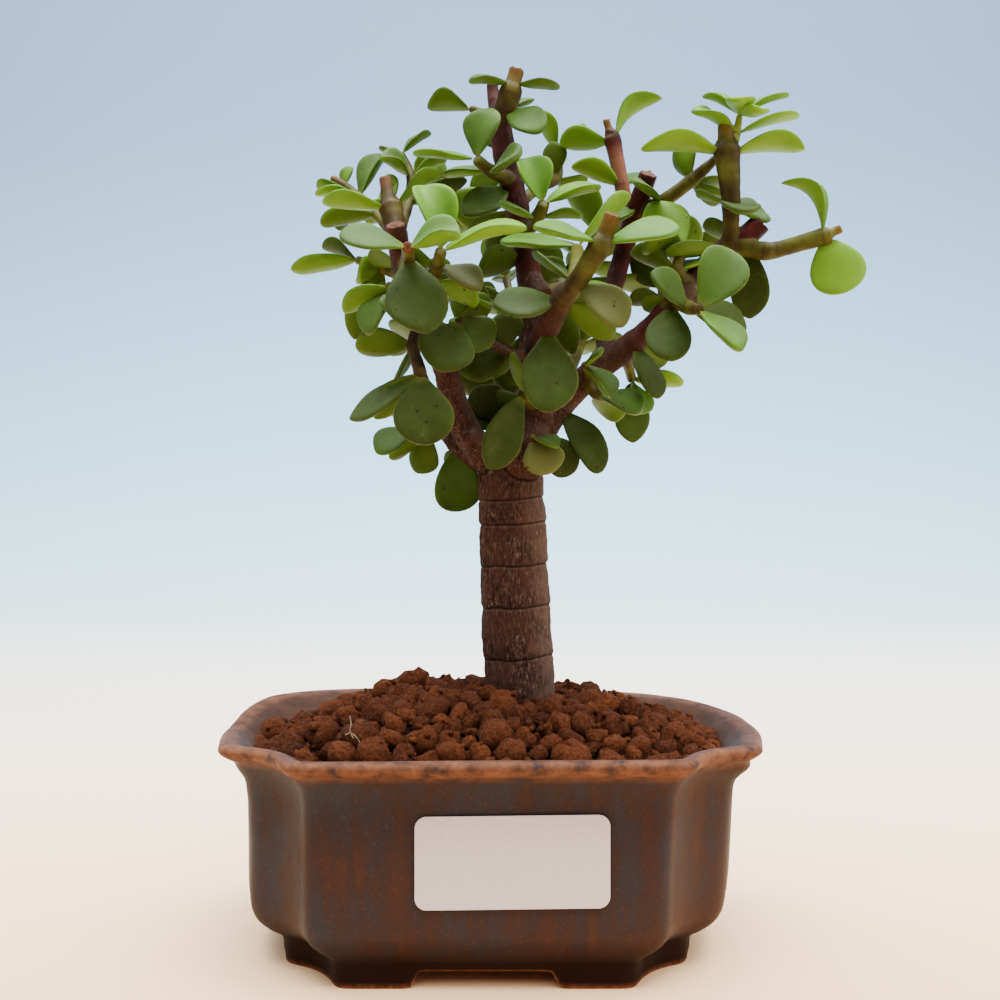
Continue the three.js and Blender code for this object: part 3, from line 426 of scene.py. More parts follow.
# Pinholes about 0.4 mm wide, where gas left the glaze.
pits = add_node(tree, "ShaderNodeTexVoronoi", {"Vector": where, "Scale": 330.0})
pit = add_node(tree, "ShaderNodeMapRange", {"Value": pits.outputs["Distance"], "From Min": 0.05,
                                            "From Max": 0.09})
pit_chance = add_node(tree, "ShaderNodeSeparateColor", {0: pits.outputs["Color"]})
rare = add_node(tree, "ShaderNodeMath", {0: pit_chance.outputs[0], 1: 0.2},
                operation="GREATER_THAN")
pit_cut = add_node(tree, "ShaderNodeMath", {0: pit.outputs[0], 1: rare.outputs[0]},
                   operation="MAXIMUM")
skin = add_node(tree, "ShaderNodeTexNoise", {"Vector": where, "Scale": 420.0, "Detail": 3.0})
bump_height = add_node(tree, "ShaderNodeMath", {0: skin.outputs[0], 1: 0.28, 2: pit_cut.outputs[0]},
                       operation="MULTIPLY_ADD")
bump = add_node(tree, "ShaderNodeBump", {"Height": bump_height.outputs[0], "Distance": 0.00025,
                                         "Strength": 0.6})
tree.links.new(bump.outputs[0], shader.inputs["Normal"])
gloss = add_node(tree, "ShaderNodeMapRange", {"Value": clouds.outputs[0], "From Min": 0.3,
                                              "From Max": 0.7, "To Min": 0.5, "To Max": 0.68})
gloss_bare = add_node(tree, "ShaderNodeMix", {0: bare.outputs["Fac"], 2: gloss.outputs[0], 3: 0.85})
tree.links.new(gloss_bare.outputs[0], shader.inputs["Roughness"])
shader.inputs["IOR"].default_value = 1.3
dull = add_node(tree, "ShaderNodeMath", {0: lip.outputs[0], 1: foot_band.outputs[0]},
                operation="MAXIMUM")
sheen = add_node(tree, "ShaderNodeMapRange", {"Value": dull.outputs[0], "To Min": 0.3,
                                              "To Max": 0.1})
tree.links.new(sheen.outputs[0], shader.inputs["Specular IOR Level"])

pot = put_mesh("pot_shell", pot_points, pot_faces, glaze)
# The clay is bare under the pot and up to 0.9 mm above its foot. Inside the lip the colour is
# painted a duller, darker brown: painted shade.
bare_grid = np.zeros(heights.shape)
bare_grid[:under_rows] = 1.0
low_edge = under_rows + np.arange(3)
bare_grid[low_edge] = np.clip(1.0 - (pot_grid[low_edge, :, 2] - lift[low_edge]) / 0.9, 0, 1)
inner_shade_grid = INNER_PAINTED_SHADE * np.clip((past_crest + 3) / 6, 0, 1) + 0 * heights
for name, grid in (("bare", bare_grid), ("inner", inner_shade_grid)):
    add_values(pot, name, np.concatenate([grid[:1, 0], grid[1:-1].ravel(), grid[-1:, 0]]))


def cut_with(piece, cutters):
    """Cuts closed surfaces out of a piece with Blender's exact boolean, and keeps the result, with
    the edges over the sharp angle shaded sharp."""
    points, faces = closed_surfaces(cutters)
    tool = put_mesh("cutter", points, faces, piece.data.materials[0])
    cut = piece.modifiers.new("cut", "BOOLEAN")
    cut.operation, cut.solver, cut.object = "DIFFERENCE", "EXACT", tool
    graph = bpy.context.evaluated_depsgraph_get()
    result = bpy.data.meshes.new_from_object(piece.evaluated_get(graph))
    result.set_sharp_from_angle(angle=np.radians(SHARP_ANGLE))
    piece.modifiers.clear()
    piece.data = result
    bpy.data.objects.remove(tool)


def upright_rod(x, y, low, high, radius, columns=36):
    """A closed cylinder: circles of the given radius at two heights, and a point at each end."""
    angle = np.linspace(0, 2 * np.pi, columns, endpoint=False)
    rows = np.array([[0.0, low], [radius, low], [radius, high], [0.0, high]])
    ring = np.stack([np.cos(angle), np.sin(angle)], -1)
    grid = rows[:, :1, None] * ring[None] + [x, y]
    return np.concatenate([grid, np.repeat(rows[:, 1:, None], columns, 1)], -1)


HOLE_OFFSET, HOLE_RADIUS = 22.0, 6.0
cut_with(pot, [
    upright_rod(POT_MIDDLE[0] + side * HOLE_OFFSET, POT_MIDDLE[1], -3.0, 20.0, HOLE_RADIUS)
    for side in (-1, 1)])
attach(pot, "root")
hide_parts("pot")


# The sticker: coated paper with rounded corners, pressed on the front panel. It is blank.
LABEL_CENTRE, LABEL_SIZE, LABEL_CORNER = (5.5, 27.2), (39.3, 18.8), 2.4
LABEL_BACK, LABEL_THICK, LABEL_SLOPE = -38.9, 0.25, 0.012
angle = np.linspace(0, 2 * np.pi, 96, endpoint=False) + np.pi / 96
half = np.array(LABEL_SIZE) / 2
ring = np.stack([np.cos(angle), np.sin(angle)], -1)
edge = np.sign(ring) * (half - LABEL_CORNER) + LABEL_CORNER * ring
reach = np.array([0.0, 0.5, 0.99, 1.0, 1.0, 0.99, 0.5, 0.0])
depth = np.array([0.0, 0.0, 0.0, 0.15, 0.85, 1.0, 1.0, 1.0]) * LABEL_THICK
flat = reach[:, None, None] * edge[None]
label_x = LABEL_CENTRE[0] + flat[..., 0]
label_z = LABEL_CENTRE[1] + flat[..., 1] + LABEL_SLOPE * flat[..., 0]
label_y = LABEL_BACK - depth[:, None] + 0 * label_x
label_grid = np.stack([label_x, label_y, label_z], -1) + POT_MIDDLE
label_points, label_faces = closed_surfaces([label_grid])

coated, tree, shader = new_material("coated_label_paper")
where = add_node(tree, "ShaderNodeTexCoord").outputs["Object"]
fibre = add_node(tree, "ShaderNodeTexNoise", {"Vector": where, "Scale": 1100.0, "Detail": 4.0})
tone = add_node(tree, "ShaderNodeValToRGB", {0: fibre.outputs[0]},
                stops=[(0.3, "#c3b7bf"), (0.7, "#cbbfc7")])
tree.links.new(tone.outputs[0], shader.inputs["Base Color"])
bump = add_node(tree, "ShaderNodeBump", {"Height": fibre.outputs[0], "Distance": 0.00002,
                                         "Strength": 0.4})
tree.links.new(bump.outputs[0], shader.inputs["Normal"])
shader.inputs["Roughness"].default_value = 0.55
label = put_mesh("blank_sticker", label_points, label_faces, coated, smooth=False)
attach(label, "root")
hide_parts("blank_label")


# The drainage: a square of moulded plastic mesh over each hole, held by a staple of soft
# copper-coloured wire whose toes are bent out under the floor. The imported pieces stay.
mesh_plastic, tree, shader = new_material("moulded_mesh_plastic")
where = add_node(tree, "ShaderNodeTexCoord").outputs["Object"]
grain = add_node(tree, "ShaderNodeTexNoise", {"Vector": where, "Scale": 700.0, "Detail": 3.0})
tone = add_node(tree, "ShaderNodeValToRGB", {0: grain.outputs[0]},
                stops=[(0.3, "#18211c"), (0.75, "#2c3a33")])
tree.links.new(tone.outputs[0], shader.inputs["Base Color"])
shader.inputs["Roughness"].default_value = 0.55
wire_metal, tree, shader = new_material("anodised_soft_wire")
where = add_node(tree, "ShaderNodeTexCoord").outputs["Object"]
rub = add_node(tree, "ShaderNodeTexNoise", {"Vector": where, "Scale": 500.0, "Detail": 4.0})
tone = add_node(tree, "ShaderNodeValToRGB", {0: rub.outputs[0]},
                stops=[(0.35, "#7c4f35"), (0.7, "#b07c58")])
tree.links.new(tone.outputs[0], shader.inputs["Base Color"])
shader.inputs["Metallic"].default_value = 1.0
shader.inputs["Roughness"].default_value = 0.38
for side in ("left", "right"):
    for kept, material in (("drain_screen_", mesh_plastic), ("drain_wire_", wire_metal)):
        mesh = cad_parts[kept + side].data
        mesh.materials.clear()
        mesh.materials.append(material)


# The wood: one plant, its ringed trunk thick and grey, its limbs cut back again and again so that
# twigs fork from stubs. Bark is fibrous on old wood and smooth, burgundy, tan or olive on young.
SHOOTS = {
    # nodes from the base outwards: column, row, near, radius
    "collar": [[524, 463, 4, 4.2], [524, 457, 5, 5.4], [526, 446, 5.4, 5.6], [531, 432, 4, 4.8]],
    "back_fork": [[512, 462, -2, 3.6], [499, 430, -7, 2.6], [490, 398, -11, 2.1],
                  [480, 360, -16, 1.6]],
    "trunk": [
        [520, 790, 0, 7.6], [520, 712, 0, 8.2], [519, 661, 0, 8.1], [516.5, 635, 0, 8.25],
        [516, 607, 0, 8.1], [515, 590, 0, 8.1], [514, 568, 0, 7.95], [513.5, 548, 0, 7.95],
        [512.5, 525, 0, 7.8], [511.5, 512, 0, 7.8], [511, 498, 0, 7.65], [511, 486, 0, 7.6],
        [511.5, 474, 0, 7.5], [514, 462, 0, 6.4]],
    "leader": [
        [514, 472, 1, 5.6], [530, 434, 2, 5.2], [541, 402, 4, 4.3], [534, 350, 3, 3.5],
        [531, 292, 1, 3.2], [526, 258, 1, 2.9], [517, 208, 3, 2.8], [512, 185, 3, 2.8],
        [505, 155, 4, 2.8], [499, 118, 4, 2.6]],
    "crown_top": [[500, 126, 4, 2.3], [505, 110, 5, 2.5], [510, 94, 6, 2.55], [512, 88, 6, 2.35],
                  [513, 84, 6, 1.8], [517, 69, 6, 1.85]],
    "crown_stub": [[500, 128, 3, 1.8], [494, 102, 0, 1.5], [492, 80, -1, 1.4]],
    "crown_left": [[500, 124, 3, 1.2], [484, 114, -2, 1.1], [471, 109, -4, 1]],
    "upper_left": [[511, 180, 4, 1.7], [491, 171, 10, 1.5], [476, 159, 13, 1.3]],
    "centre_top": [[520, 238, 3, 1.9], [537, 218, 11, 1.7], [544, 203, 15, 1.4]],
    "back_upper": [[517, 205, 2, 1.6], [538, 188, -12, 1.4], [557, 178, -17, 1.3],
                   [557, 152, -19, 1.1]],
    "base_spur": [[529, 438, 7, 2.0], [532, 437, 10, 1.1]],
    "front_stub": [[532, 280, 1, 2.2], [547, 297, 14, 1.9]],
    "front_twig": [
        [535, 352, 4, 2.8], [548, 326, 24, 2.7], [562, 300, 29, 2.5], [576, 283, 31, 2.1],
        [598, 250, 35, 2.35], [602, 243, 35, 2.15], [604, 238, 35, 1.85], [613, 213, 37, 1.7]],
    "olive_side": [[571, 292, 30, 1.6], [576, 268, 26, 1.5], [577, 246, 24, 1.4]],
    "left_branch": [
        [506, 470, 0, 4.8], [480, 450, 4, 3.7], [462, 422, 8, 3.2], [450, 385, 12, 2.75],
        [437, 345, 15, 2.8], [418, 305, 20, 2.6], [403, 266, 25, 2.4], [395, 224, 30, 2.2]],
    "left_knob": [[482, 456, 4, 3.2], [468, 432, 12, 2.4]],
    "left_low": [
        [490, 466, 0, 3], [458, 445, -3, 2.4], [436, 412, -6, 2], [420, 374, -8, 1.6],
        [412, 344, -8, 1.3]],
    "left_hang": [[424, 318, 18, 1.6], [413, 344, 25, 1.4], [421, 373, 32, 1.4]],
    "left_crown": [[404, 268, 24, 2.2], [397, 236, 18, 2.4], [391, 209, 15, 2.6],
                   [389, 203, 15, 2.3], [388.5, 200, 15, 1.55], [385, 178, 13, 1.45]],
    "left_front": [[405, 270, 25, 1.6], [408, 257, 33, 1.5], [408, 247, 41, 1.35]],
    "left_back": [
        [397, 238, 18, 1.5], [378, 215, 6, 1.4], [359, 197, -1, 1.2], [346, 187, -3, 1.1],
        [332, 178, -5, 1]],
    "left_side": [[404, 276, 23, 1.5], [382, 268, 11, 1.3], [358, 260, 2, 1.1]],
    "left_mid": [[412, 292, 22, 1.5], [396, 288, 30, 1.4], [389, 287, 33, 1.2]],
    "left_inner": [[398, 234, 17, 1.5], [408, 204, 4, 1.3], [411, 177, -1, 1.2], [401, 154, -4, 1]],
    "centre_left": [[421, 312, 20, 1.7], [432, 284, 27, 1.5], [438, 264, 31, 1.4],
                    [441, 251, 35, 1.3]],
    "mid_left": [[532, 362, 4, 1.8], [508, 352, 13, 1.3], [488, 341, 20, 1.1], [458, 320, 28, 1.0]],
    "low_left": [[446, 428, -4, 1.5], [431, 434, 2, 1.2], [412, 428, 6, 1.1]],
    "low_front": [[538, 408, 4, 1.8], [523, 394, 13, 1.4]],
    "right_branch": [
        [534, 432, 2, 4.8], [558, 405, 3, 3.7], [588, 377, 4, 3.1], [620, 353, 5, 2.9],
        [634, 342, 6, 2.8], [648, 330, 7, 2.5], [672, 303, 9, 2.2], [700, 270, 9, 2.2],
        [724, 249, 9, 2.3], [744, 238, 9, 2.6], [762, 222, 10, 2.5]],
    "right_twig": [
        [742, 247, 10, 1.8], [764, 251, 12, 2.1], [776, 250, 12, 1.85], [822, 237, 14, 2.0],
        [825, 236, 14, 1.8], [827, 235, 14, 1.15], [842, 228, 15, 1.05]],
    "vertical_shoot": [[729, 250, 10, 1.7], [731, 205, 12, 2.1], [727, 154, 13, 2.9],
                       [726.5, 149, 13, 2.6], [726, 146, 13, 1.8], [725, 124, 13, 1.75]],
    "axil_shoot": [[731, 152, 12, 1.3], [736, 134, 11.5, 1.0], [740, 115, 12, 0.8]],
    "dark_branch": [
        [606, 362, 3, 2.3], [606, 322, -6, 2.3], [617, 275, -10, 2.3], [628, 236, -8, 2.4],
        [637, 206, -4, 2.3], [649, 173, 0, 2.2]],
    "pink_shoot": [[629, 224, -8, 2], [622, 186, -8, 1.8], [613, 142, -9, 2.0], [611, 137, -9, 1.8],
                   [610, 134, -9, 1.05], [606, 119, -9, 0.95]],
    "tan_shoot": [[633, 216, -6, 1.8], [662, 202, 0, 1.7], [692, 180, 4, 1.6], [718, 157, 7, 1]],
    "right_stub": [[686, 287, 10, 1.7], [697, 303, 22, 1.6]],
    "right_up": [[688, 284, 10, 1.6], [677, 270, 13, 1.4], [684, 247, 10, 1.2]],
    "right_front": [[674, 301, 10, 1.6], [689, 308, 23, 1.5], [699, 309, 33, 1.3]],
    "right_low": [[588, 377, 5, 1.6], [596, 394, 8, 1.3], [622, 401, 4, 1.1]],
    "right_under": [[624, 350, 4, 1.5], [632, 380, -6, 1.2]],
    "right_spur": [[590, 376, 5, 1.3], [585, 364, 12, 1]],
    "back_left": [[524, 246, 1, 1.8], [500, 236, -13, 1.6], [472, 218, -24, 1.3],
                  [448, 196, -31, 1.1]],
    "back_right": [[530, 300, 1, 1.9], [556, 288, -14, 1.6], [586, 262, -26, 1.3],
                   [598, 232, -33, 1.1]],
    "back_low": [[550, 416, 3, 2.4], [566, 376, -14, 1.9], [580, 344, -27, 1.5],
                 [584, 312, -36, 1.2]],
    "back_left_low": [[447, 376, 12, 2], [454, 358, -6, 1.7], [462, 334, -20, 1.4],
                      [462, 304, -31, 1.1]],
    "back_middle": [[534, 348, 3, 2], [524, 334, -14, 1.6], [514, 310, -27, 1.3],
                    [506, 278, -36, 1.1]],
    "back_far_right": [[668, 307, 9, 1.8], [664, 288, -7, 1.5], [672, 264, -18, 1.3],
                       [690, 244, -26, 1.1]],
}
SHOOT_SKIN = {
    # age at the base and the tip, 1 for old bark and 0 for green skin, the same for redness, and
    # the share of the length where one turns into the other
    "back_fork": (1.0, 1.0, 0.0, 0.3, 0.5), "mid_left": (0.9, 0.6, 0.3, 0.5, 0.5),
    "axil_shoot": (0.0, 0.0, -1.0, -1.0, 0.5), "olive_side": (0.0, 0.0, -0.3, -0.3, 0.5),
    "right_twig": (0.0, 0.0, 0.12, -0.1, 0.5),
    "trunk": (1.0, 1.0, 0.0, 0.0, 0.5), "collar": (1.0, 1.0, 0.0, 0.0, 0.5),
    "leader": (1.0, 0.22, 0.3, 1.0, 0.42), "left_branch": (1.0, 0.3, 0.2, 0.9, 0.6),
    "right_branch": (0.9, 0.2, 0.5, 1.0, 0.32), "front_twig": (0.5, 0.0, 1.0, 0.12, 0.6),
    "crown_top": (0.2, 0.0, 0.7, 0.35, 0.3), "crown_stub": (0.1, 0.0, 1.06, 1.06, 0.5),
    "left_low": (0.9, 0.6, 0.3, 0.5, 0.5), "dark_branch": (0.4, 0.2, 1.0, 1.0, 0.5),
    "pink_shoot": (0.1, 0.0, 1.5, 0.5, 0.75), "tan_shoot": (0.1, 0.0, 0.5, 0.1, 0.5),
    "left_knob": (1.0, 1.0, 0.3, 0.3, 0.5), "front_stub": (0.9, 0.7, 0.3, 0.3, 0.5),
    "left_crown": (0.4, 0.0, 0.8, 0.45, 0.35), "left_hang": (0.8, 0.5, 0.4, 0.5, 0.5),
    "right_stub": (0.6, 0.4, 0.6, 0.8, 0.5), "vertical_shoot": (0.1, 0.0, 0.45, 0.2, 0.5),
}
YOUNG_SKIN = (0.15, 0.0, 0.35, 0.1, 0.4)
# Shoots that end in a saw cut, and those whose skin dried below it.
SAWN = ("crown_top", "crown_stub", "left_crown", "left_branch", "left_front", "front_stub",
        "front_twig", "vertical_shoot", "right_twig", "pink_shoot", "dark_branch", "right_branch",
        "left_back")
DRY_ENDS = ("crown_top", "left_crown", "front_twig", "vertical_shoot", "right_twig", "pink_shoot",
            "left_back")
# The rows at which the trunk's rings are seen, how steeply they rise to the right, and how wide
# their grooves are. Below: the length of skin that dries under a cut, the rings of a tube from
# node to node, the width of a cut's face as a share of the shoot's, and how far it bulges.
TRUNK_RINGS, RING_TILT, GROOVE_WIDTH = (655.5, 605.5, 564.5, 523, 498.5), 0.055, 0.45
DRIED_LENGTH, PER_SPAN, RIM_SHARE, END_BULGE = 5.0, 10, 0.93, 0.12
# A distance that is well clear of any ring or crease.
FAR = 9.0


def unit(vectors):
    """Vectors divided by their lengths."""
    return vectors / np.linalg.norm(vectors, axis=-1, keepdims=True)


def limb(nodes, columns, swell):
    """A closed tube along the smooth curve through a shoot's nodes, with the radius carried along.
    Each ring is the centre plus the radius times the cosine and sine of the turn along two
    directions square to the curve. Nodes swell a little, and the foot flares into its parent."""
    centres = seen(np.array(nodes, float)[:, :3])
    radii = np.array(nodes, float)[:, 3:]
    rows = smooth_rows(np.concatenate([centres, radii], 1), PER_SPAN)
    path, radius = rows[:, :3], rows[:, 3]
    tangent = unit(np.gradient(path, axis=0))
    along = np.concatenate([[0], np.cumsum(np.linalg.norm(np.diff(path, axis=0), axis=1))])
    if swell:
        places = along[PER_SPAN:-PER_SPAN:PER_SPAN]
        bump = np.exp(-((along[:, None] - places) / 0.9) ** 2).sum(1)
        radius = radius * (1 + 0.07 * np.clip(bump, 0, 1)) + 0.4 * np.exp(-along / 1.6)
    helper = [0.0, 1.0, 0.0] if abs(tangent[:, 1]).mean() < 0.8 else [1.0, 0.0, 0.0]
    across = unit(np.cross(tangent, helper))
    other = np.cross(tangent, across)
    turn = np.linspace(0, 2 * np.pi, columns, endpoint=False)
    wide = (across[:, None] * np.cos(turn)[None, :, None]
            + other[:, None] * np.sin(turn)[None, :, None])
    body = path[:, None] + radius[:, None, None] * wide
    tip = path[-1] + END_BULGE * tangent[-1]
    end_rim = path[-1] + RIM_SHARE * radius[-1] * wide[-1] + END_BULGE * tangent[-1]
    start, end = (np.repeat(point[None], columns, 0)[None] for point in (path[0], tip))
    return np.concatenate([start, body, end_rim[None], end]), path, radius, along


limbs = {name: limb(nodes, 20 if name == "trunk" else 14, name != "trunk")
         for name, nodes in SHOOTS.items()}
tubes, middles, girths, alongs = zip(*limbs.values())
wood_points, wood_faces = closed_surfaces(tubes)


def grown_together(name, points, faces, material, voxel, rounds):
    """Joins overlapping tubes into one skin by voxel remeshing, evens it with a Smooth modifier,
    and returns the applied result as a piece."""
    rough = put_mesh(name, points, faces, material)
    remesh = rough.modifiers.new("join", "REMESH")
    remesh.mode, remesh.voxel_size, remesh.use_smooth_shade = "VOXEL", voxel * MM, True
    even = rough.modifiers.new("even", "SMOOTH")
    even.factor, even.iterations = 0.5, rounds
    graph = bpy.context.evaluated_depsgraph_get()
    result = bpy.data.meshes.new_from_object(rough.evaluated_get(graph))
    result.materials.clear()
    result.materials.append(material)
    rough.modifiers.clear()
    rough.data = result
    return rough


bark, tree, shader = new_material("bark_and_young_skin")
age, red, cut, pith, ring, joint, dry, lit_right_side = (
    add_node(tree, "ShaderNodeAttribute", attribute_name=name).outputs["Fac"]
    for name in ("age", "red", "cut", "pith", "ring", "node", "dry", "lit_right_side"))
where = add_node(tree, "ShaderNodeTexCoord").outputs["Object"]
# Bark flakes about 0.5 mm wide and 1.6 mm long, running up the wood, tan over red-brown.
fibre_map = add_node(tree, "ShaderNodeMapping", {"Vector": where, "Scale": (2100.0, 2100.0, 620.0)})
fibres = add_node(tree, "ShaderNodeTexNoise", {"Vector": fibre_map.outputs[0], "Scale": 1.0,
                                               "Detail": 6.0, "Roughness": 0.68, "Distortion": 0.5})
patches = add_node(tree, "ShaderNodeTexNoise", {"Vector": where, "Scale": 190.0, "Detail": 4.0})
old = add_node(tree, "ShaderNodeValToRGB", {0: fibres.outputs[0]}, stops=[
    (0.34, "#170c0a"), (0.44, "#2d1d17"), (0.53, "#402a22"), (0.61, "#574439"), (0.71, "#827364")])
warm = add_node(tree, "ShaderNodeMapRange", {"Value": patches.outputs[0], "From Min": 0.38,
                                             "From Max": 0.62, "To Max": 0.55})
old_warm = add_node(tree, "ShaderNodeMix", {0: warm.outputs[0], 6: old.outputs[0],
                                            7: linear("#472b23")}, data_type="RGBA")
# Painted shade: along the trunk's rings, the nodes of old limbs and the creases where limbs meet,
# the bark is darkened towards black.
ring_gap = add_node(tree, "ShaderNodeMath", {0: ring}, operation="ABSOLUTE")
groove = add_node(tree, "ShaderNodeMapRange", {"Value": ring_gap.outputs[0], "From Min": 0.38,
                                               "From Max": 0.0, "To Max": 0.8})
# Just below each ring the bark's edge is frayed and grey.
below_ring = add_node(tree, "ShaderNodeMapRange", {"Value": ring, "From Min": -0.9,
                                                   "From Max": -0.3})
above_gap = add_node(tree, "ShaderNodeMapRange", {"Value": ring, "From Min": -0.2, "From Max": -0.5,
                                                  "To Max": 0.3})
frayed = add_node(tree, "ShaderNodeMath", {0: below_ring.outputs[0], 1: above_gap.outputs[0]},
                  operation="MULTIPLY")
# Painted highlight: bark that faces right is painted paler grey as if lit from the right, on top of
# the real grey of the frayed band below each ring.
frayed_and_lit_right = add_node(tree, "ShaderNodeMath", {0: lit_right_side, 1: patches.outputs[0],
                                              2: frayed.outputs[0]}, operation="MULTIPLY_ADD")
greyed = add_node(tree, "ShaderNodeMix", {0: frayed_and_lit_right.outputs[0], 6: old_warm.outputs[2],
                                          7: linear("#6b5a4f")}, data_type="RGBA")
painted_groove_shade = add_node(tree, "ShaderNodeMix", {0: groove.outputs[0], 6: greyed.outputs[2],
                                               7: linear("#120a07")}, data_type="RGBA")
green_skin = add_node(tree, "ShaderNodeValToRGB", {0: patches.outputs[0]},
                      stops=[(0.38, "#352f0f"), (0.5, "#424213"), (0.66, "#52581c")])
red_skin = add_node(tree, "ShaderNodeValToRGB", {0: patches.outputs[0]},
                    stops=[(0.35, "#230a09"), (0.7, "#421614")])
freshness = add_node(tree, "ShaderNodeMapRange", {"Value": red, "From Min": 0.0, "From Max": -1.0})
fresh_skin = add_node(tree, "ShaderNodeMix", {0: freshness.outputs[0], 6: green_skin.outputs[0],
                                              7: linear("#74802a")}, data_type="RGBA")
pinkness = add_node(tree, "ShaderNodeMapRange", {"Value": red, "From Min": 1.0, "From Max": 1.5})
pink_skin = add_node(tree, "ShaderNodeMix", {0: pinkness.outputs[0], 6: red_skin.outputs[0],
                                             7: linear("#66412f")}, data_type="RGBA")
young = add_node(tree, "ShaderNodeMix", {0: red, 6: fresh_skin.outputs[2], 7: pink_skin.outputs[2]},
                 data_type="RGBA")
fray = add_node(tree, "ShaderNodeMath", {0: fibres.outputs[0], 1: 0.5}, operation="SUBTRACT")
ragged_age = add_node(tree, "ShaderNodeMath", {0: fray.outputs[0], 1: 0.9, 2: age},
                      operation="MULTIPLY_ADD")
how_old = add_node(tree, "ShaderNodeMapRange", {"Value": ragged_age.outputs[0], "From Min": 0.25,
                                                "From Max": 0.75})
# The last few millimetres below a cut dry out to a dull orange.
drying = add_node(tree, "ShaderNodeMath", {0: dry, 1: 0.5}, operation="MULTIPLY")
dried = add_node(tree, "ShaderNodeMix", {0: drying.outputs[0], 6: young.outputs[2],
                                         7: linear("#6e4020")}, data_type="RGBA")
scar = add_node(tree, "ShaderNodeMath", {0: joint, 1: 0.6}, operation="MULTIPLY")
scarred = add_node(tree, "ShaderNodeMix", {0: scar.outputs[0], 6: dried.outputs[2],
                                           7: linear("#2a1a0e")}, data_type="RGBA")
skinned = add_node(tree, "ShaderNodeMix", {0: how_old.outputs[0], 6: scarred.outputs[2],
                                           7: painted_groove_shade.outputs[2]}, data_type="RGBA")
cut_wood = add_node(tree, "ShaderNodeValToRGB", {0: pith}, stops=[
    (0.0, "#1d0f0a"), (0.25, "#38210f"), (0.45, "#5c3519"), (0.8, "#57301c"), (0.97, "#1f100b")])
whole = add_node(tree, "ShaderNodeMix", {0: cut, 6: skinned.outputs[2], 7: cut_wood.outputs[0]},
                 data_type="RGBA")
tree.links.new(whole.outputs[2], shader.inputs["Base Color"])
rough = add_node(tree, "ShaderNodeMapRange", {"Value": how_old.outputs[0], "To Min": 0.5,
                                              "To Max": 0.9})
tree.links.new(rough.outputs[0], shader.inputs["Roughness"])
relief = add_node(tree, "ShaderNodeMath", {0: fibres.outputs[0], 1: how_old.outputs[0]},
                  operation="MULTIPLY")
bump = add_node(tree, "ShaderNodeBump", {"Height": relief.outputs[0], "Distance": 0.0009,
                                         "Strength": 0.9})
tree.links.new(bump.outputs[0], shader.inputs["Normal"])
shader.inputs["IOR"].default_value = 1.35
shader.inputs["Specular IOR Level"].default_value = 0.16

# The skin's grain in millimetres, its rounds of smoothing, and how many points are measured at
# a time, which only keeps the arrays small.
VOXEL, SMOOTHINGS, BLOCK = 0.51, 2, 4000
wood = grown_together("trunk_and_limbs", wood_points, wood_faces, bark, VOXEL, SMOOTHINGS)
count = len(wood.data.vertices)
skin = np.empty(count * 3, np.float32)
wood.data.vertices.foreach_get("co", skin)
skin = skin.reshape(-1, 3).astype(float) * 1000.0
blocks = np.array_split(skin, 1 + count // BLOCK)
paths, radii = np.concatenate(middles), np.concatenate(girths)
share = np.concatenate([along / along[-1] for along in alongs])
left_over = np.concatenate([along[-1] - along for along in alongs])
tangents = np.concatenate([unit(np.gradient(middle, axis=0)) for middle in middles])
ages = np.array([SHOOT_SKIN.get(name, YOUNG_SKIN) for name in limbs])
owner = np.concatenate([np.full(len(along), i) for i, along in enumerate(alongs)])
nearest = np.concatenate([
    np.argmin(np.linalg.norm(block[:, None] - paths[None], axis=-1) - radii[None], axis=1)
    for block in blocks])
own, way = owner[nearest], share[nearest]
turned = np.clip((way - ages[own, 4]) / 0.35 + 0.5, 0, 1)
age_value = ages[own, 0] + (ages[own, 1] - ages[own, 0]) * turned
red_value = ages[own, 2] + (ages[own, 3] - ages[own, 2]) * turned
offset = skin - paths[nearest]
distance = np.linalg.norm(offset, axis=1)


def belongs(names):
    """Whether each point of the skin lies on one of these shoots."""
    return np.isin(own, [i for i, name in enumerate(limbs) if name in names])


def past_node(name, along):
    """How far each ring of a shoot lies past the nearest of its inner nodes."""
    nodes = along[PER_SPAN:-PER_SPAN:PER_SPAN]
    if name in ("collar", "trunk") or not len(nodes):
        return np.full(len(along), FAR)
    return along - nodes[np.argmin(abs(along[:, None] - nodes), axis=1)]


def outside_of(name):
    """How far each point of the skin lies outside a shoot: the least, over the shoot's rings, of
    the distance to the ring's middle less its radius."""
    _, middle, girth, _ = limbs[name]
    return np.concatenate([
        (np.linalg.norm(block[:, None] - middle[None], axis=-1) - girth[None]).min(1)
        for block in blocks])


is_trunk = belongs(["trunk"])
at_end = (left_over[nearest] < 0.02) & (distance < RIM_SHARE * radii[nearest]) & belongs(SAWN)
centre_height = (skin[:, 2] - RING_TILT * offset[:, 0]
                 + 0.3 * ripple(skin * [1, 1, 0.2], 9.0, 11))
ring_heights = seen([[518, row, 0] for row in TRUNK_RINGS])[:, 2]
above = centre_height[:, None] - ring_heights[None]
pick = np.argmin(abs(above), axis=1)
node_gap = (np.concatenate([past_node(name, along) for name, along in zip(limbs, alongs)])[nearest]
            + (offset * tangents[nearest]).sum(1))
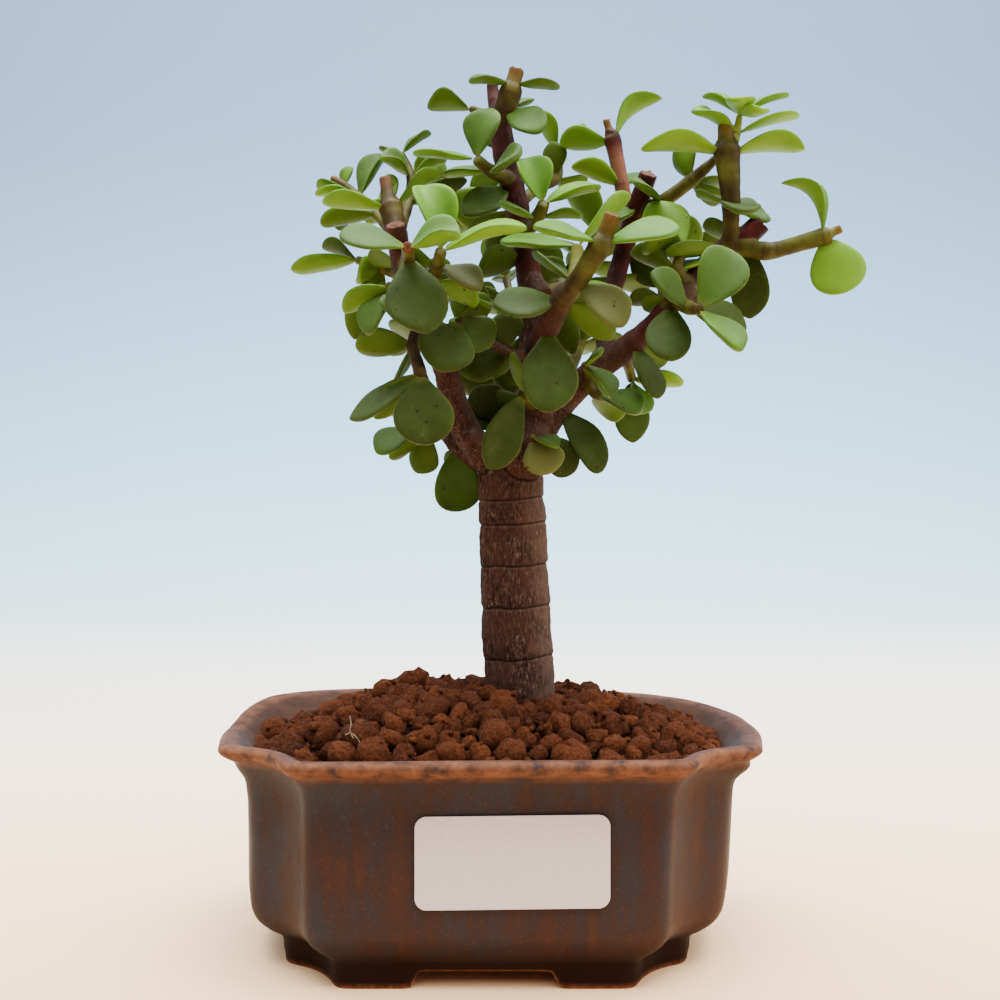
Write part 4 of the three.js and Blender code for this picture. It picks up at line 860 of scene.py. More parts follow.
# Old limbs swell at the foot, and a crease runs where one meets the next.
out_of = {name: outside_of(name) for name in ("collar", "trunk", "left_branch", "left_low")}
crease = np.full(count, FAR)
for upper, lower in (("collar", "trunk"), ("left_branch", "trunk"), ("left_low", "left_branch")):
    gap = out_of[lower] - out_of[upper]
    is_nearer = (abs(gap) < abs(crease)) & (out_of[upper] < 1.5) & (out_of[lower] < 1.5)
    crease = np.where(is_nearer, gap, crease)
to_ring = np.where(age_value > 0.5, node_gap + np.sign(node_gap) * 0.22, FAR)
to_ring = np.where(is_trunk, above[np.arange(count), pick], to_ring)
to_ring = np.where(abs(crease) < abs(to_ring), crease, to_ring)
groove_value = np.exp(-(to_ring / GROOVE_WIDTH) ** 2)
# Each length of trunk flares a little over the one below, like a skirt.
skirt = (np.where((to_ring > 0) & is_trunk, np.exp(-to_ring / 1.6), 0)
         - 0.35 * (abs(to_ring + 1.2) < 1.2))
node_ring = np.exp(-(node_gap / 0.25) ** 2)
outward = unit(offset + 1e-9)
turn = np.arctan2(offset[:, 1], offset[:, 0])
strand = np.stack([np.cos(turn) * 7, np.sin(turn) * 7, skin[:, 2] * 0.14], -1)
relief = (0.13 * ripple(strand, 1.7, 21) + 0.12 * ripple(skin, 4.0, 22)
          + 0.06 * ripple(skin, 1.3, 24) - 0.32 * groove_value + 0.22 * skirt)
skin += outward * (relief * np.clip(age_value * 1.6 - 0.6, 0, 1) * ~at_end)[:, None]
skin += outward * (0.035 * ripple(skin, 2.5, 23) * ~at_end)[:, None]
ends = np.array([unit(middle[-1] - middle[-3]) for middle in middles])
dish = 0.35 * (distance / radii[nearest]) ** 2 - 0.4 + 0.12 * ripple(skin, 1.5, 25)
skin += ends[own] * (dish * radii[nearest] * 0.5 * at_end)[:, None]
wood.data.vertices.foreach_set("co", (skin * MM).astype(np.float32).ravel())
wood.data.shade_smooth()
drying_out = np.clip(1 - left_over[nearest] / DRIED_LENGTH, 0, 1) * belongs(DRY_ENDS)
# Painted highlight: the more the skin faces right, the paler grey its bark is painted.
right_side_light = np.clip(outward[:, 0] - 0.25, 0, 1) * 1.1
for name, values in (("age", age_value), ("red", red_value), ("cut", at_end),
                     ("pith", distance / radii[nearest]), ("ring", to_ring), ("node", node_ring),
                     ("lit_right_side", right_side_light), ("dry", drying_out)):
    add_values(wood, name, values)
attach(wood, "root")
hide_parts("trunk_and_branches")


# The soil: a heap of baked clay granules, 3 to 10 mm, porous and crumbly, red-brown when damp.
# The bed is one closed heap, and the granules that show lie on it as single lumps.
SOIL_RIM, SOIL_RISE, BED_DROP = 42.8, 12.2, 1.7
TRUNK_FOOT = seen([520, 690, 0])[:2] - POT_MIDDLE[:2]

baked, tree, shader = new_material("baked_clay_granules")
tint = add_node(tree, "ShaderNodeAttribute", attribute_name="tint").outputs["Fac"]
where = add_node(tree, "ShaderNodeTexCoord").outputs["Object"]
# Pores and paler crumbs, each about a millimetre wide.
crumb = add_node(tree, "ShaderNodeTexNoise", {"Vector": where, "Scale": 1300.0, "Detail": 7.0,
                                              "Roughness": 0.75})
pores = add_node(tree, "ShaderNodeTexVoronoi", {"Vector": where, "Scale": 850.0},
                 feature="SMOOTH_F1")
mixed = add_node(tree, "ShaderNodeMath", {0: crumb.outputs[0], 1: 0.9, 2: tint},
                 operation="MULTIPLY_ADD")
clay = add_node(tree, "ShaderNodeValToRGB", {0: mixed.outputs[0]}, stops=[
    (0.34, "#1c0c06"), (0.44, "#34180b"), (0.54, "#492411"), (0.66, "#5f3118"), (0.84, "#824823")])
tree.links.new(clay.outputs[0], shader.inputs["Base Color"])
lumps = add_node(tree, "ShaderNodeMath", {0: pores.outputs["Distance"], 1: 0.5,
                                          2: crumb.outputs[0]}, operation="MULTIPLY_ADD")
bump = add_node(tree, "ShaderNodeBump", {"Height": lumps.outputs[0], "Distance": 0.0016,
                                         "Strength": 1.0})
tree.links.new(bump.outputs[0], shader.inputs["Normal"])
shader.inputs["Roughness"].default_value = 0.95
shader.inputs["Specular IOR Level"].default_value = 0.12

rim_outline = lobed_outline(np.array([[0.0, 54.0, 37.6, 35.8, 20.6]]))[0]
rim_turn = np.arctan2(rim_outline[:, 1], rim_outline[:, 0])
order = np.argsort(rim_turn)


def rim_share(xy):
    """How far out a place lies: its distance from the middle over the soil outline's distance
    the same way."""
    turn = np.arctan2(xy[..., 1], xy[..., 0])
    edge = np.linalg.norm(rim_outline, axis=1)[order]
    limit = np.interp(turn, rim_turn[order], edge, period=2 * np.pi)
    return np.linalg.norm(xy, axis=-1) / limit


def heap(xy):
    """The heap's height: the rim's height, plus a rise that falls away towards the edge as the
    share to the power 2.2, plus a knoll on each side behind the trunk and some unevenness."""
    share = np.clip(rim_share(xy), 0, 1)
    left = 2.5 * np.exp(-((xy[..., 0] + 21) ** 2 + (xy[..., 1] - 12) ** 2) / 110)
    right = 1.8 * np.exp(-((xy[..., 0] - 20) ** 2 + (xy[..., 1] - 14) ** 2) / 130)
    return SOIL_RIM + SOIL_RISE * (1 - share ** 2.2) + left + right + 0.6 * ripple(xy, 22.0, 31)


bed_rows = np.array([[11.3, 46.0, 29.8, 31.0, 16.2], [11.9, 48.2, 31.8, 32.3, 17.2],
                     [14.0, 49.1, 32.6, 32.8, 17.6], [38.6, 49.2, 32.7, 32.9, 17.7]])
bed_outline = lobed_outline(bed_rows)
wall = np.concatenate([bed_outline, np.repeat(bed_rows[:, :1, None], bed_outline.shape[1], 1)], -1)
inwards = np.array([1.0, 0.96, 0.9, 0.8, 0.7, 0.6, 0.5, 0.4, 0.3, 0.2, 0.1, 0.0])
top_xy = inwards[:, None, None] * rim_outline
top = np.concatenate([top_xy, (heap(top_xy) - BED_DROP)[..., None]], -1)
base = wall[:1] * [0.0, 0.0, 1.0]
bed_points, bed_faces = closed_surfaces([np.concatenate([base, wall, top]) + POT_MIDDLE])
bed = put_mesh("soil_bed", bed_points, bed_faces, baked)
# The bed is painted darker than the granules: painted shade in the gaps between them.
add_values(bed, "tint", np.full(len(bed_points), -0.12))
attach(bed, "root")
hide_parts("soil")


# How close a lump may come to the rim, as a share of its size over the rim's radius, and to the
# trunk, as the trunk's radius there and a share of the lump's size.
RIM_KEEP, RIM_RADIUS, TRUNK_CLEAR, TRUNK_KEEP = 0.62, 40.0, 7.2, 0.7
# Multiples of this step, less their whole parts, spread evenly over a square. Then come the size
# of the spread, each place's own shift, and the share and number of the pushes apart.
EVEN_STEP = np.array([0.7548776662, 0.5698402910])
SPREAD, PLACE_CHANCE, PUSH, ROUNDS = np.array([112.0, 80.0]), 0.8, 0.25, 26
TINT, TINT_SPREAD, CRUMB_TINT_SPREAD = 0.135, 0.045, 0.03
# Rows and columns of a granule's grid, and of a crumb's.
BIG_GRID, CRUMB_GRID = (7, 9), (5, 7)


def settled(places, sizes, rounds, gap, held):
    """Places pushed apart: each round, two lumps that overlap move away from each other by half
    of what they overlap, and one past the rim or inside the trunk is put back at its edge. The
    first ones are held where they are."""
    for _ in range(rounds):
        places[:len(held)] = held
        apart = places[:, None] - places[None]
        far = np.linalg.norm(apart, axis=-1) + 1e-6
        short = np.clip((sizes[:, None] + sizes[None]) * gap - far, 0, None)
        np.fill_diagonal(short, 0)
        places = places + PUSH * (apart / far[..., None] * short[..., None]).sum(1)
        share = rim_share(places)
        allowed = 1 - sizes * RIM_KEEP / RIM_RADIUS
        places = places * np.minimum(1, allowed / np.maximum(share, 1e-6))[:, None]
        from_trunk = places - TRUNK_FOOT
        far = np.linalg.norm(from_trunk, axis=-1)
        clear = TRUNK_CLEAR + sizes * TRUNK_KEEP
        places = TRUNK_FOOT + from_trunk * np.maximum(1, clear / far)[:, None]
    return places


def lump_grids(centres, sizes, chance, rows, columns):
    """Crumbly lumps: a sphere's rows and columns, stretched along three seeded axes, with the
    radius swelled and sunk by noise of the direction."""
    slope = np.linspace(0, np.pi, rows)[:, None]
    turn = np.linspace(0, 2 * np.pi, columns, endpoint=False)[None]
    ball = np.stack([np.sin(slope) * np.cos(turn), np.sin(slope) * np.sin(turn),
                     np.cos(slope) + 0 * turn], -1)
    q = unit(chance.normal(size=(len(sizes), 4)))
    w, x, y, z = q.T
    turns = np.stack([
        1 - 2 * (y * y + z * z), 2 * (x * y - z * w), 2 * (x * z + y * w),
        2 * (x * y + z * w), 1 - 2 * (x * x + z * z), 2 * (y * z - x * w),
        2 * (x * z - y * w), 2 * (y * z + x * w), 1 - 2 * (x * x + y * y)], -1).reshape(-1, 3, 3)
    stretch = chance.uniform(0.72, 1.2, (len(sizes), 1, 1, 3))
    shift = chance.uniform(-50, 50, (len(sizes), 1, 1, 3))
    bulge = (1.06 - 0.3 * abs(ripple(ball[None] + shift, 2.2, 41))
             + 0.16 * ripple(ball[None] + shift, 1.0, 42))
    shaped = ball[None] * stretch * bulge[..., None] * sizes[:, None, None, None]
    return np.einsum("nij,nrcj->nrci", turns, shaped) + centres[:, None, None]


def granule_layer(name, number, low, high, depth, seed, gap, crumbs, held=()):
    """One layer of granules: seeded places over the soil, pushed apart, and sunk into the heap by
    a share of their size. Each carries a few crumbs of its own clay, stuck on its upper side."""
    chance = np.random.default_rng(seed)
    step = np.arange(number)[:, None] * EVEN_STEP
    places = ((step + 0.5) % 1.0 - 0.5) * SPREAD + chance.normal(0, PLACE_CHANCE, (number, 2))
    places = places[rim_share(places) < 1.0]
    sizes = low + (high - low) * chance.beta(1.3, 2.6, len(places))
    held = np.reshape(held, (-1, 3))
    places, sizes = np.concatenate([held[:, :2], places]), np.concatenate([held[:, 2], sizes])
    places = settled(places, sizes, ROUNDS, gap, held[:, :2])
    rise = heap(places) - depth * sizes
    centres = np.concatenate([places, rise[:, None]], 1) + POT_MIDDLE
    way = unit(chance.normal(size=(len(sizes), crumbs, 3)) + [0, -0.3, 0.5])
    stuck = (centres[:, None] + way * 0.82 * sizes[:, None, None]).reshape(-1, 3)
    small = (sizes[:, None] * chance.uniform(0.14, 0.28, (len(sizes), crumbs))).ravel()
    big = lump_grids(centres, sizes, chance, *BIG_GRID)
    bits = lump_grids(stuck, small, chance, *CRUMB_GRID)
    points, faces = closed_surfaces([*big, *bits])
    made = put_mesh(name, points, faces, baked)
    tint = chance.normal(TINT, TINT_SPREAD, len(sizes))
    bit_tint = np.repeat(tint, crumbs) + chance.normal(0, CRUMB_TINT_SPREAD, len(small))
    per_big, per_bit = ((rows - 2) * columns + 2 for rows, columns in (BIG_GRID, CRUMB_GRID))
    tints = [np.repeat(tint, per_big), np.repeat(bit_tint, per_bit)]
    add_values(made, "tint", np.concatenate(tints))
    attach(made, "root")


granule_layer("granules_below", 300, 1.7, 3.0, 0.9, 51, 0.95, 1)
# Five of the biggest lumps keep their places: across, back from the middle, and size. The first
# lies where the photo shows it, and the others near it.
granule_layer("granules_on_top", 350, 1.9, 5.1, 0.0, 52, 1.02, 3, [
    [-18.0, 13.5, 5.0], [-11.0, 15.5, 4.0], [4.0, -12.0, 4.8], [-24.0, -8.0, 4.6],
    [27.0, -17.0, 5.2]])
granule_layer("crumbs", 420, 0.45, 1.1, -0.6, 53, 0.6, 1)


# Loose bits on the soil: pale root hairs and a few straws, dry and curled.
HAIRS = [
    # column, row and near of points along each hair
    [[350, 716, 26.5], [351, 724, 28.5], [350, 731, 29.5], [353, 738, 30.5]],
    [[345, 735, 30.5], [351, 733, 31], [357, 738, 31.5], [360, 743, 31.5]],
    [[496, 691, 9.8], [499, 692.5, 9.8], [503, 692, 9.8]],
    [[507, 693.5, 10.2], [510, 694.5, 10.5], [514, 693, 10.5], [516, 694.5, 10.5]],
    [[604, 694, 4], [607, 691, 4], [608, 698, 5]],
]
straw, tree, shader = new_material("dry_root_hair")
where = add_node(tree, "ShaderNodeTexCoord").outputs["Object"]
dry = add_node(tree, "ShaderNodeTexNoise", {"Vector": where, "Scale": 800.0, "Detail": 3.0})
tone = add_node(tree, "ShaderNodeValToRGB", {0: dry.outputs[0]},
                stops=[(0.35, "#5a4632"), (0.7, "#94805f")])
tree.links.new(tone.outputs[0], shader.inputs["Base Color"])
shader.inputs["Roughness"].default_value = 0.7
hair_grids = []
for i, places in enumerate(HAIRS):
    radius = 0.1 if i % 2 else 0.08
    hair_grids.append(limb([[*place, radius] for place in places], 6, False)[0])
hair_points, hair_faces = closed_surfaces(hair_grids)
hairs = put_mesh("root_hairs", hair_points, hair_faces, straw)
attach(hairs, "root")


# The leaves: thick, waxy and nearly round, in opposite pairs that meet at a node. Young ones are a
# bright yellow-green, old ones a dusty olive, all with a thin tan margin. Each leaf's tone also
# paints its light and shade: leaves deep in the crown are painted darker, lit ones paler.
LEAF_PAIRS = [
    # node of the imported model, shoot, node number, then each leaf: the tip's column and row, how
    # far the tip comes forward of its node, width, the way the upper face looks as (right,
    # towards the viewer, up), arch, tone from 0 for old olive to 1 for yellow-green, which also
    # paints the leaf's light and shade, and where the leaf is folded along its midrib, how steeply
    ["top_pair", "crown_top", 4, [469, 79, 2, 9.5, [0, 0.4, 1], 0.02, 0.35],
     [560, 88, 0, 9, [0, 0.22, 1], 0.02, 0.5]],
    ["top_front_pair", "crown_top", 1, [541, 132, 8, 8.2, [-0.3, 0.75, 0.6], 0, 0.42],
     [523, 101, -10, 8, [0, 0, 1], 0, 0.4]],
    ["top_left_leaf", "crown_left", 2, [427, 108, 0, 10, [0, -0.3, 1], 0.08, 0.5]],
    ["upper_left_pair", "upper_left", 2, [490, 107, 0, 10, [-0.6, 0.7, 0], 0, 0.45],
     [413, 152, -2, 9, [0, 0.35, 1], 0, 0.8]],
    ["upper_left_low_pair", "upper_left", 1, [443, 176, -4, 9, [0, 0.4, 1], 0, 0.6],
     [519, 153, 8, 9.5, [-0.2, 0.75, 0.6], 0, 0.45]],
    ["centre_top_pair", "centre_top", 2, [522, 160, -2, 9.0, [-0.2, 0.4, 0.9], 0, 0.7, 0.5],
     [600, 188, -4, 8.5, [0, 0.3, 1], 0, 0.8]],
    ["centre_low_pair", "centre_top", 1, [499, 202, 4, 9.5, [0, 0.45, 0.9], 0, 0.6],
     [583, 214, 2, 9, [0, 0.25, 1], 0, 0.5]],
    ["back_upper_pair", "back_upper", 2, [552, 141, 2, 7, [0.6, -0.8, 0], 0, 0.2],
     [582, 192, -7, 8, [0, -0.3, 1], 0, 0.4]],
    ["pink_pair", "pink_shoot", 2, [659, 96, -4, 7.6, [-0.35, -0.4, 0.8], 0.17, 0.65, 0.3],
     [560, 142, -4, 9, [0, -0.42, 0.9], 0, 0.75]],
    ["pink_low_pair", "pink_shoot", 1, [572, 165, 3, 7.8, [0, -0.3, 0.95], 0, 0.85],
     [645, 172, -9, 7, [0, 0, 1], 0, 0.5]],
    ["tan_end_pair", "tan_shoot", 2, [675, 148, -2, 8.5, [0.7, -0.5, 0.4], 0, 0.6],
     [722, 187, -8, 8, [0, -0.2, 1], 0, 0.4]],
    ["shoot_pair", "vertical_shoot", 2, [641, 150, 3, 10, [0, -0.15, 1], 0.07, 0.85],
     [805, 148, 0, 10, [0, -0.15, 1], 0.07, 0.9]],
    ["shoot_low_pair", "vertical_shoot", 1, [698, 194, -5, 8, [0, 0.15, 1], 0, 0.3],
     [766, 216, -6, 9, [0.6, 0.5, 0.6], 0, 0.5]],
    ["axil_pair", "axil_shoot", 1, [692, 110, 4, 8.5, [0, 0.35, 1], 0.05, 0.75],
     [799, 118, -4, 7.5, [0, 0, 1], 0.04, 0.95]],
    ["right_end_pair", "right_twig", 4, [782, 182, -2, 8.6, [0.5, 0.25, 0.8], 0.19, 0.7, 0.3],
     [843, 294, 0, 12.6, [0.1, -1, 0], 0, 0.83]],
    ["right_hanging_leaf", "right_branch", 9, [750, 319, -3, 9, [-0.5, 0.8, 0], 0, 0.15]],
    ["right_mid_leaf", "right_branch", 8, [665, 251, 6, 8, [0, -0.2, 1], 0, 0.4]],
    ["right_front_pair", "right_front", 2, [731, 249, -4, 10.8, [0.2, 0.9, 0.35], 0, 0.5, 0.2],
     [743, 350, 4, 9.4, [0.55, 0.65, 0.5], 0, 0.7, 0.12]],
    ["right_front_low_pair", "right_front", 1, [653, 271, 5, 8, [-0.3, 0.7, 0.6], 0, 0.4],
     [747, 328, -7, 8.5, [0.2, 0.8, 0.3], 0, 0.3]],
    ["right_drop_leaf", "right_branch", 6, [671, 362, 10, 10.2, [0, 1, 0.3], 0, 0.2]],
    ["right_up_pair", "right_up", 2, [650, 203, -8, 11.5, [0.1, -0.9, 0.3], 0, 0.75],
     [646, 243, 7, 8.5, [0, -0.6, 0.8], 0, 0.35]],
    ["front_pair", "front_twig", 5, [533, 228, 4, 9.5, [0, 0.5, 0.9], 0, 0.65],
     [680, 228, 2, 10, [0, 0.55, 0.85], 0, 0.7]],
    ["front_low_pair", "front_twig", 3, [626, 324, 3, 9, [0, 0.85, 0.5], 0, -0.17, 0.12],
     [535, 257, -12, 8, [0, -0.3, 0.9], 0, 0.3]],
    ["front_hanging_leaf", "front_twig", 1, [547, 410, 7, 12.2, [0, 1, 0.1], 0, 0.2]],
    ["front_base_pair", "front_twig", 2, [493, 306, 2, 9.5, [0, 0.85, 0.5], 0, 0.25],
     [613, 339, -9, 8, [0, -0.6, 0.7], 0, 0.35]],
    ["olive_pair", "olive_side", 2, [500, 240, -3, 9, [0, 0.4, 0.9], 0, 0.65],
     [629, 195, -6, 7.5, [-0.5, -0.2, 0.6], 0, 0.7]],
    ["leader_pair", "leader", 5, [477, 268, 5, 9, [0, -0.7, 0.7], 0, 0.2],
     [563, 276, -6, 8, [0, -0.7, 0.6], 0, 0.2]],
    ["mid_left_pair", "mid_left", 1, [499, 314, 4, 9.5, [0, 0.7, 0.6], 0, 0.15],
     [456, 367, 3, 9.5, [0, 0.9, 0.3], 0, 0.25]],
    ["mid_left_end_pair", "mid_left", 3, [440, 371, 5, 12, [0, 1, 0.2], 0, 0.2],
     [490, 308, -8, 8, [0, -0.8, 0.6], 0, 0.2]],
    ["low_front_pair", "low_front", 1, [490, 469, 5, 9, [0.4, 0.9, 0], 0, 0.15],
     [513, 353, 6, 7, [0.8, -0.5, 0], 0, 0.35]],
    ["trunk_top_pair", "base_spur", 1, [550, 474, 3, 10, [0.15, 0.7, 0.7], 0, -0.18],
     [576, 471, -4, 8.5, [0.2, 0.9, 0], 0, 0.2]],
    ["right_base_leaf", "right_branch", 1, [601, 471, 7, 8, [0.3, 0.9, 0], 0.02, 0.22]],
    ["right_low_pair", "right_low", 1, [641, 412, 4, 9, [0, 0.5, 0.8], 0, 0.4],
     [616, 420, -9, 8, [0, -0.4, 0.9], 0, 0.3]],
    ["right_under_pair", "right_branch", 4, [660, 397, 5, 8, [0.5, 0.8, 0], 0, 0.2],
     [668, 362, -8, 8, [0, -0.9, 0.2], 0, 0.3]],
    ["left_hanging_pair", "left_hang", 2, [425, 445, 3, 12.4, [0, 1, 0], 0, 0.15],
     [351, 421, -4, 9.5, [0, 0.6, 0.8], 0, 0.3]],
    ["left_hanging_low_pair", "left_hang", 1, [355, 344, 2, 8.5, [0, -0.7, 0.7], 0, 0.25],
     [396, 381, -5, 5, [0.9, 0.3, 0], 0, 0.3]],
    ["left_mid_pair", "left_mid", 1, [366, 333, 3, 8, [-0.4, 0.6, 0.5], 0, 0.4],
     [343, 311, -4, 7.5, [-0.1, -0.4, 0.9], 0, 0.6]],
    ["left_side_pair", "left_side", 2, [291, 271, 2, 8.2, [0, -0.3, 0.95], 0, 0.7],
     [324, 246, -5, 8, [0, -0.4, 0.9], 0, 0.2]],
    ["left_front_pair", "left_front", 2, [339, 235, 2, 9.5, [0, 0.6, 0.8], 0, 0.45],
     [461, 234, 2, 10.5, [0, 0.62, 0.8], 0, 0.6, 0.45]],
    ["left_front_leaf", "left_front", 1, [427, 332, 7, 12.8, [0, 1, 0], 0, 0.15]],
    ["centre_left_pair", "centre_left", 3, [526, 225, 2, 10.5, [0, 0.45, 0.9], 0, 0.8],
     [422, 186, -4, 9, [0.35, 0.7, 0.4], 0.06, 0.8, 0.5]],
    ["left_crown_pair", "left_crown", 2, [322, 203, 3, 9, [0, 0.05, 1], 0, 0.75],
     [442, 170, -3, 7, [-0.3, 0.1, 0.9], 0, 0.6, 0.4]],
    ["left_back_pair", "left_back", 2, [383, 154, -3, 7.6, [-0.7, 0.6, 0.2], 0, 0.35, 0.4],
     [315, 192, 3, 8, [0, -0.1, 1], 0, 0.8]],
    ["leader_leaf", "leader", 7, [464, 214, 8, 8.6, [0, 0.9, 0.4], 0, 0.3]],
    ["back_left_pair", "back_left", 2, [436, 240, -8, 9, [-0.3, -0.5, 0.8], 0, 0.4],
     [505, 188, -8, 9, [0.3, -0.5, 0.8], 0, 0.4]],
    ["back_right_pair", "back_right", 2, [552, 240, -10, 9, [-0.3, -0.5, 0.8], 0, 0.4],
     [622, 280, -8, 9, [0.3, -0.5, 0.8], 0, 0.4]],
    ["back_low_pair", "back_low", 2, [548, 352, -11, 9, [0, -0.6, 0.8], 0, 0.2],
     [622, 346, -8, 9, [0, -0.6, 0.8], 0, 0.2]],
    ["back_middle_pair", "back_middle", 2, [478, 300, -9, 9, [-0.2, -0.6, 0.8], 0, 0.3],
     [548, 322, -8, 9, [0.2, -0.6, 0.8], 0, 0.3]],
    ["back_left_low_pair", "back_left_low", 2, [424, 330, -9, 9, [-0.2, -0.6, 0.8], 0, 0.3],
     [500, 342, -10, 9, [0.2, -0.6, 0.8], 0, 0.3]],
    ["back_far_right_pair", "back_far_right", 2, [640, 262, -10, 9, [-0.2, -0.6, 0.8], 0, 0.4],
     [704, 292, -10, 9, [0.2, -0.6, 0.8], 0, 0.4]],
    ["low_left_pair", "low_left", 2, [376, 453, 3, 8.5, [0, 0.5, 0.8], 0, 0.4],
     [402, 384, -8, 8, [0, -0.7, 0.3], 0, 0.2]],
    ["lowest_leaf", "left_low", 1, [455, 511, -6, 11.2, [0, 1, 0], 0, 0.45]],
]
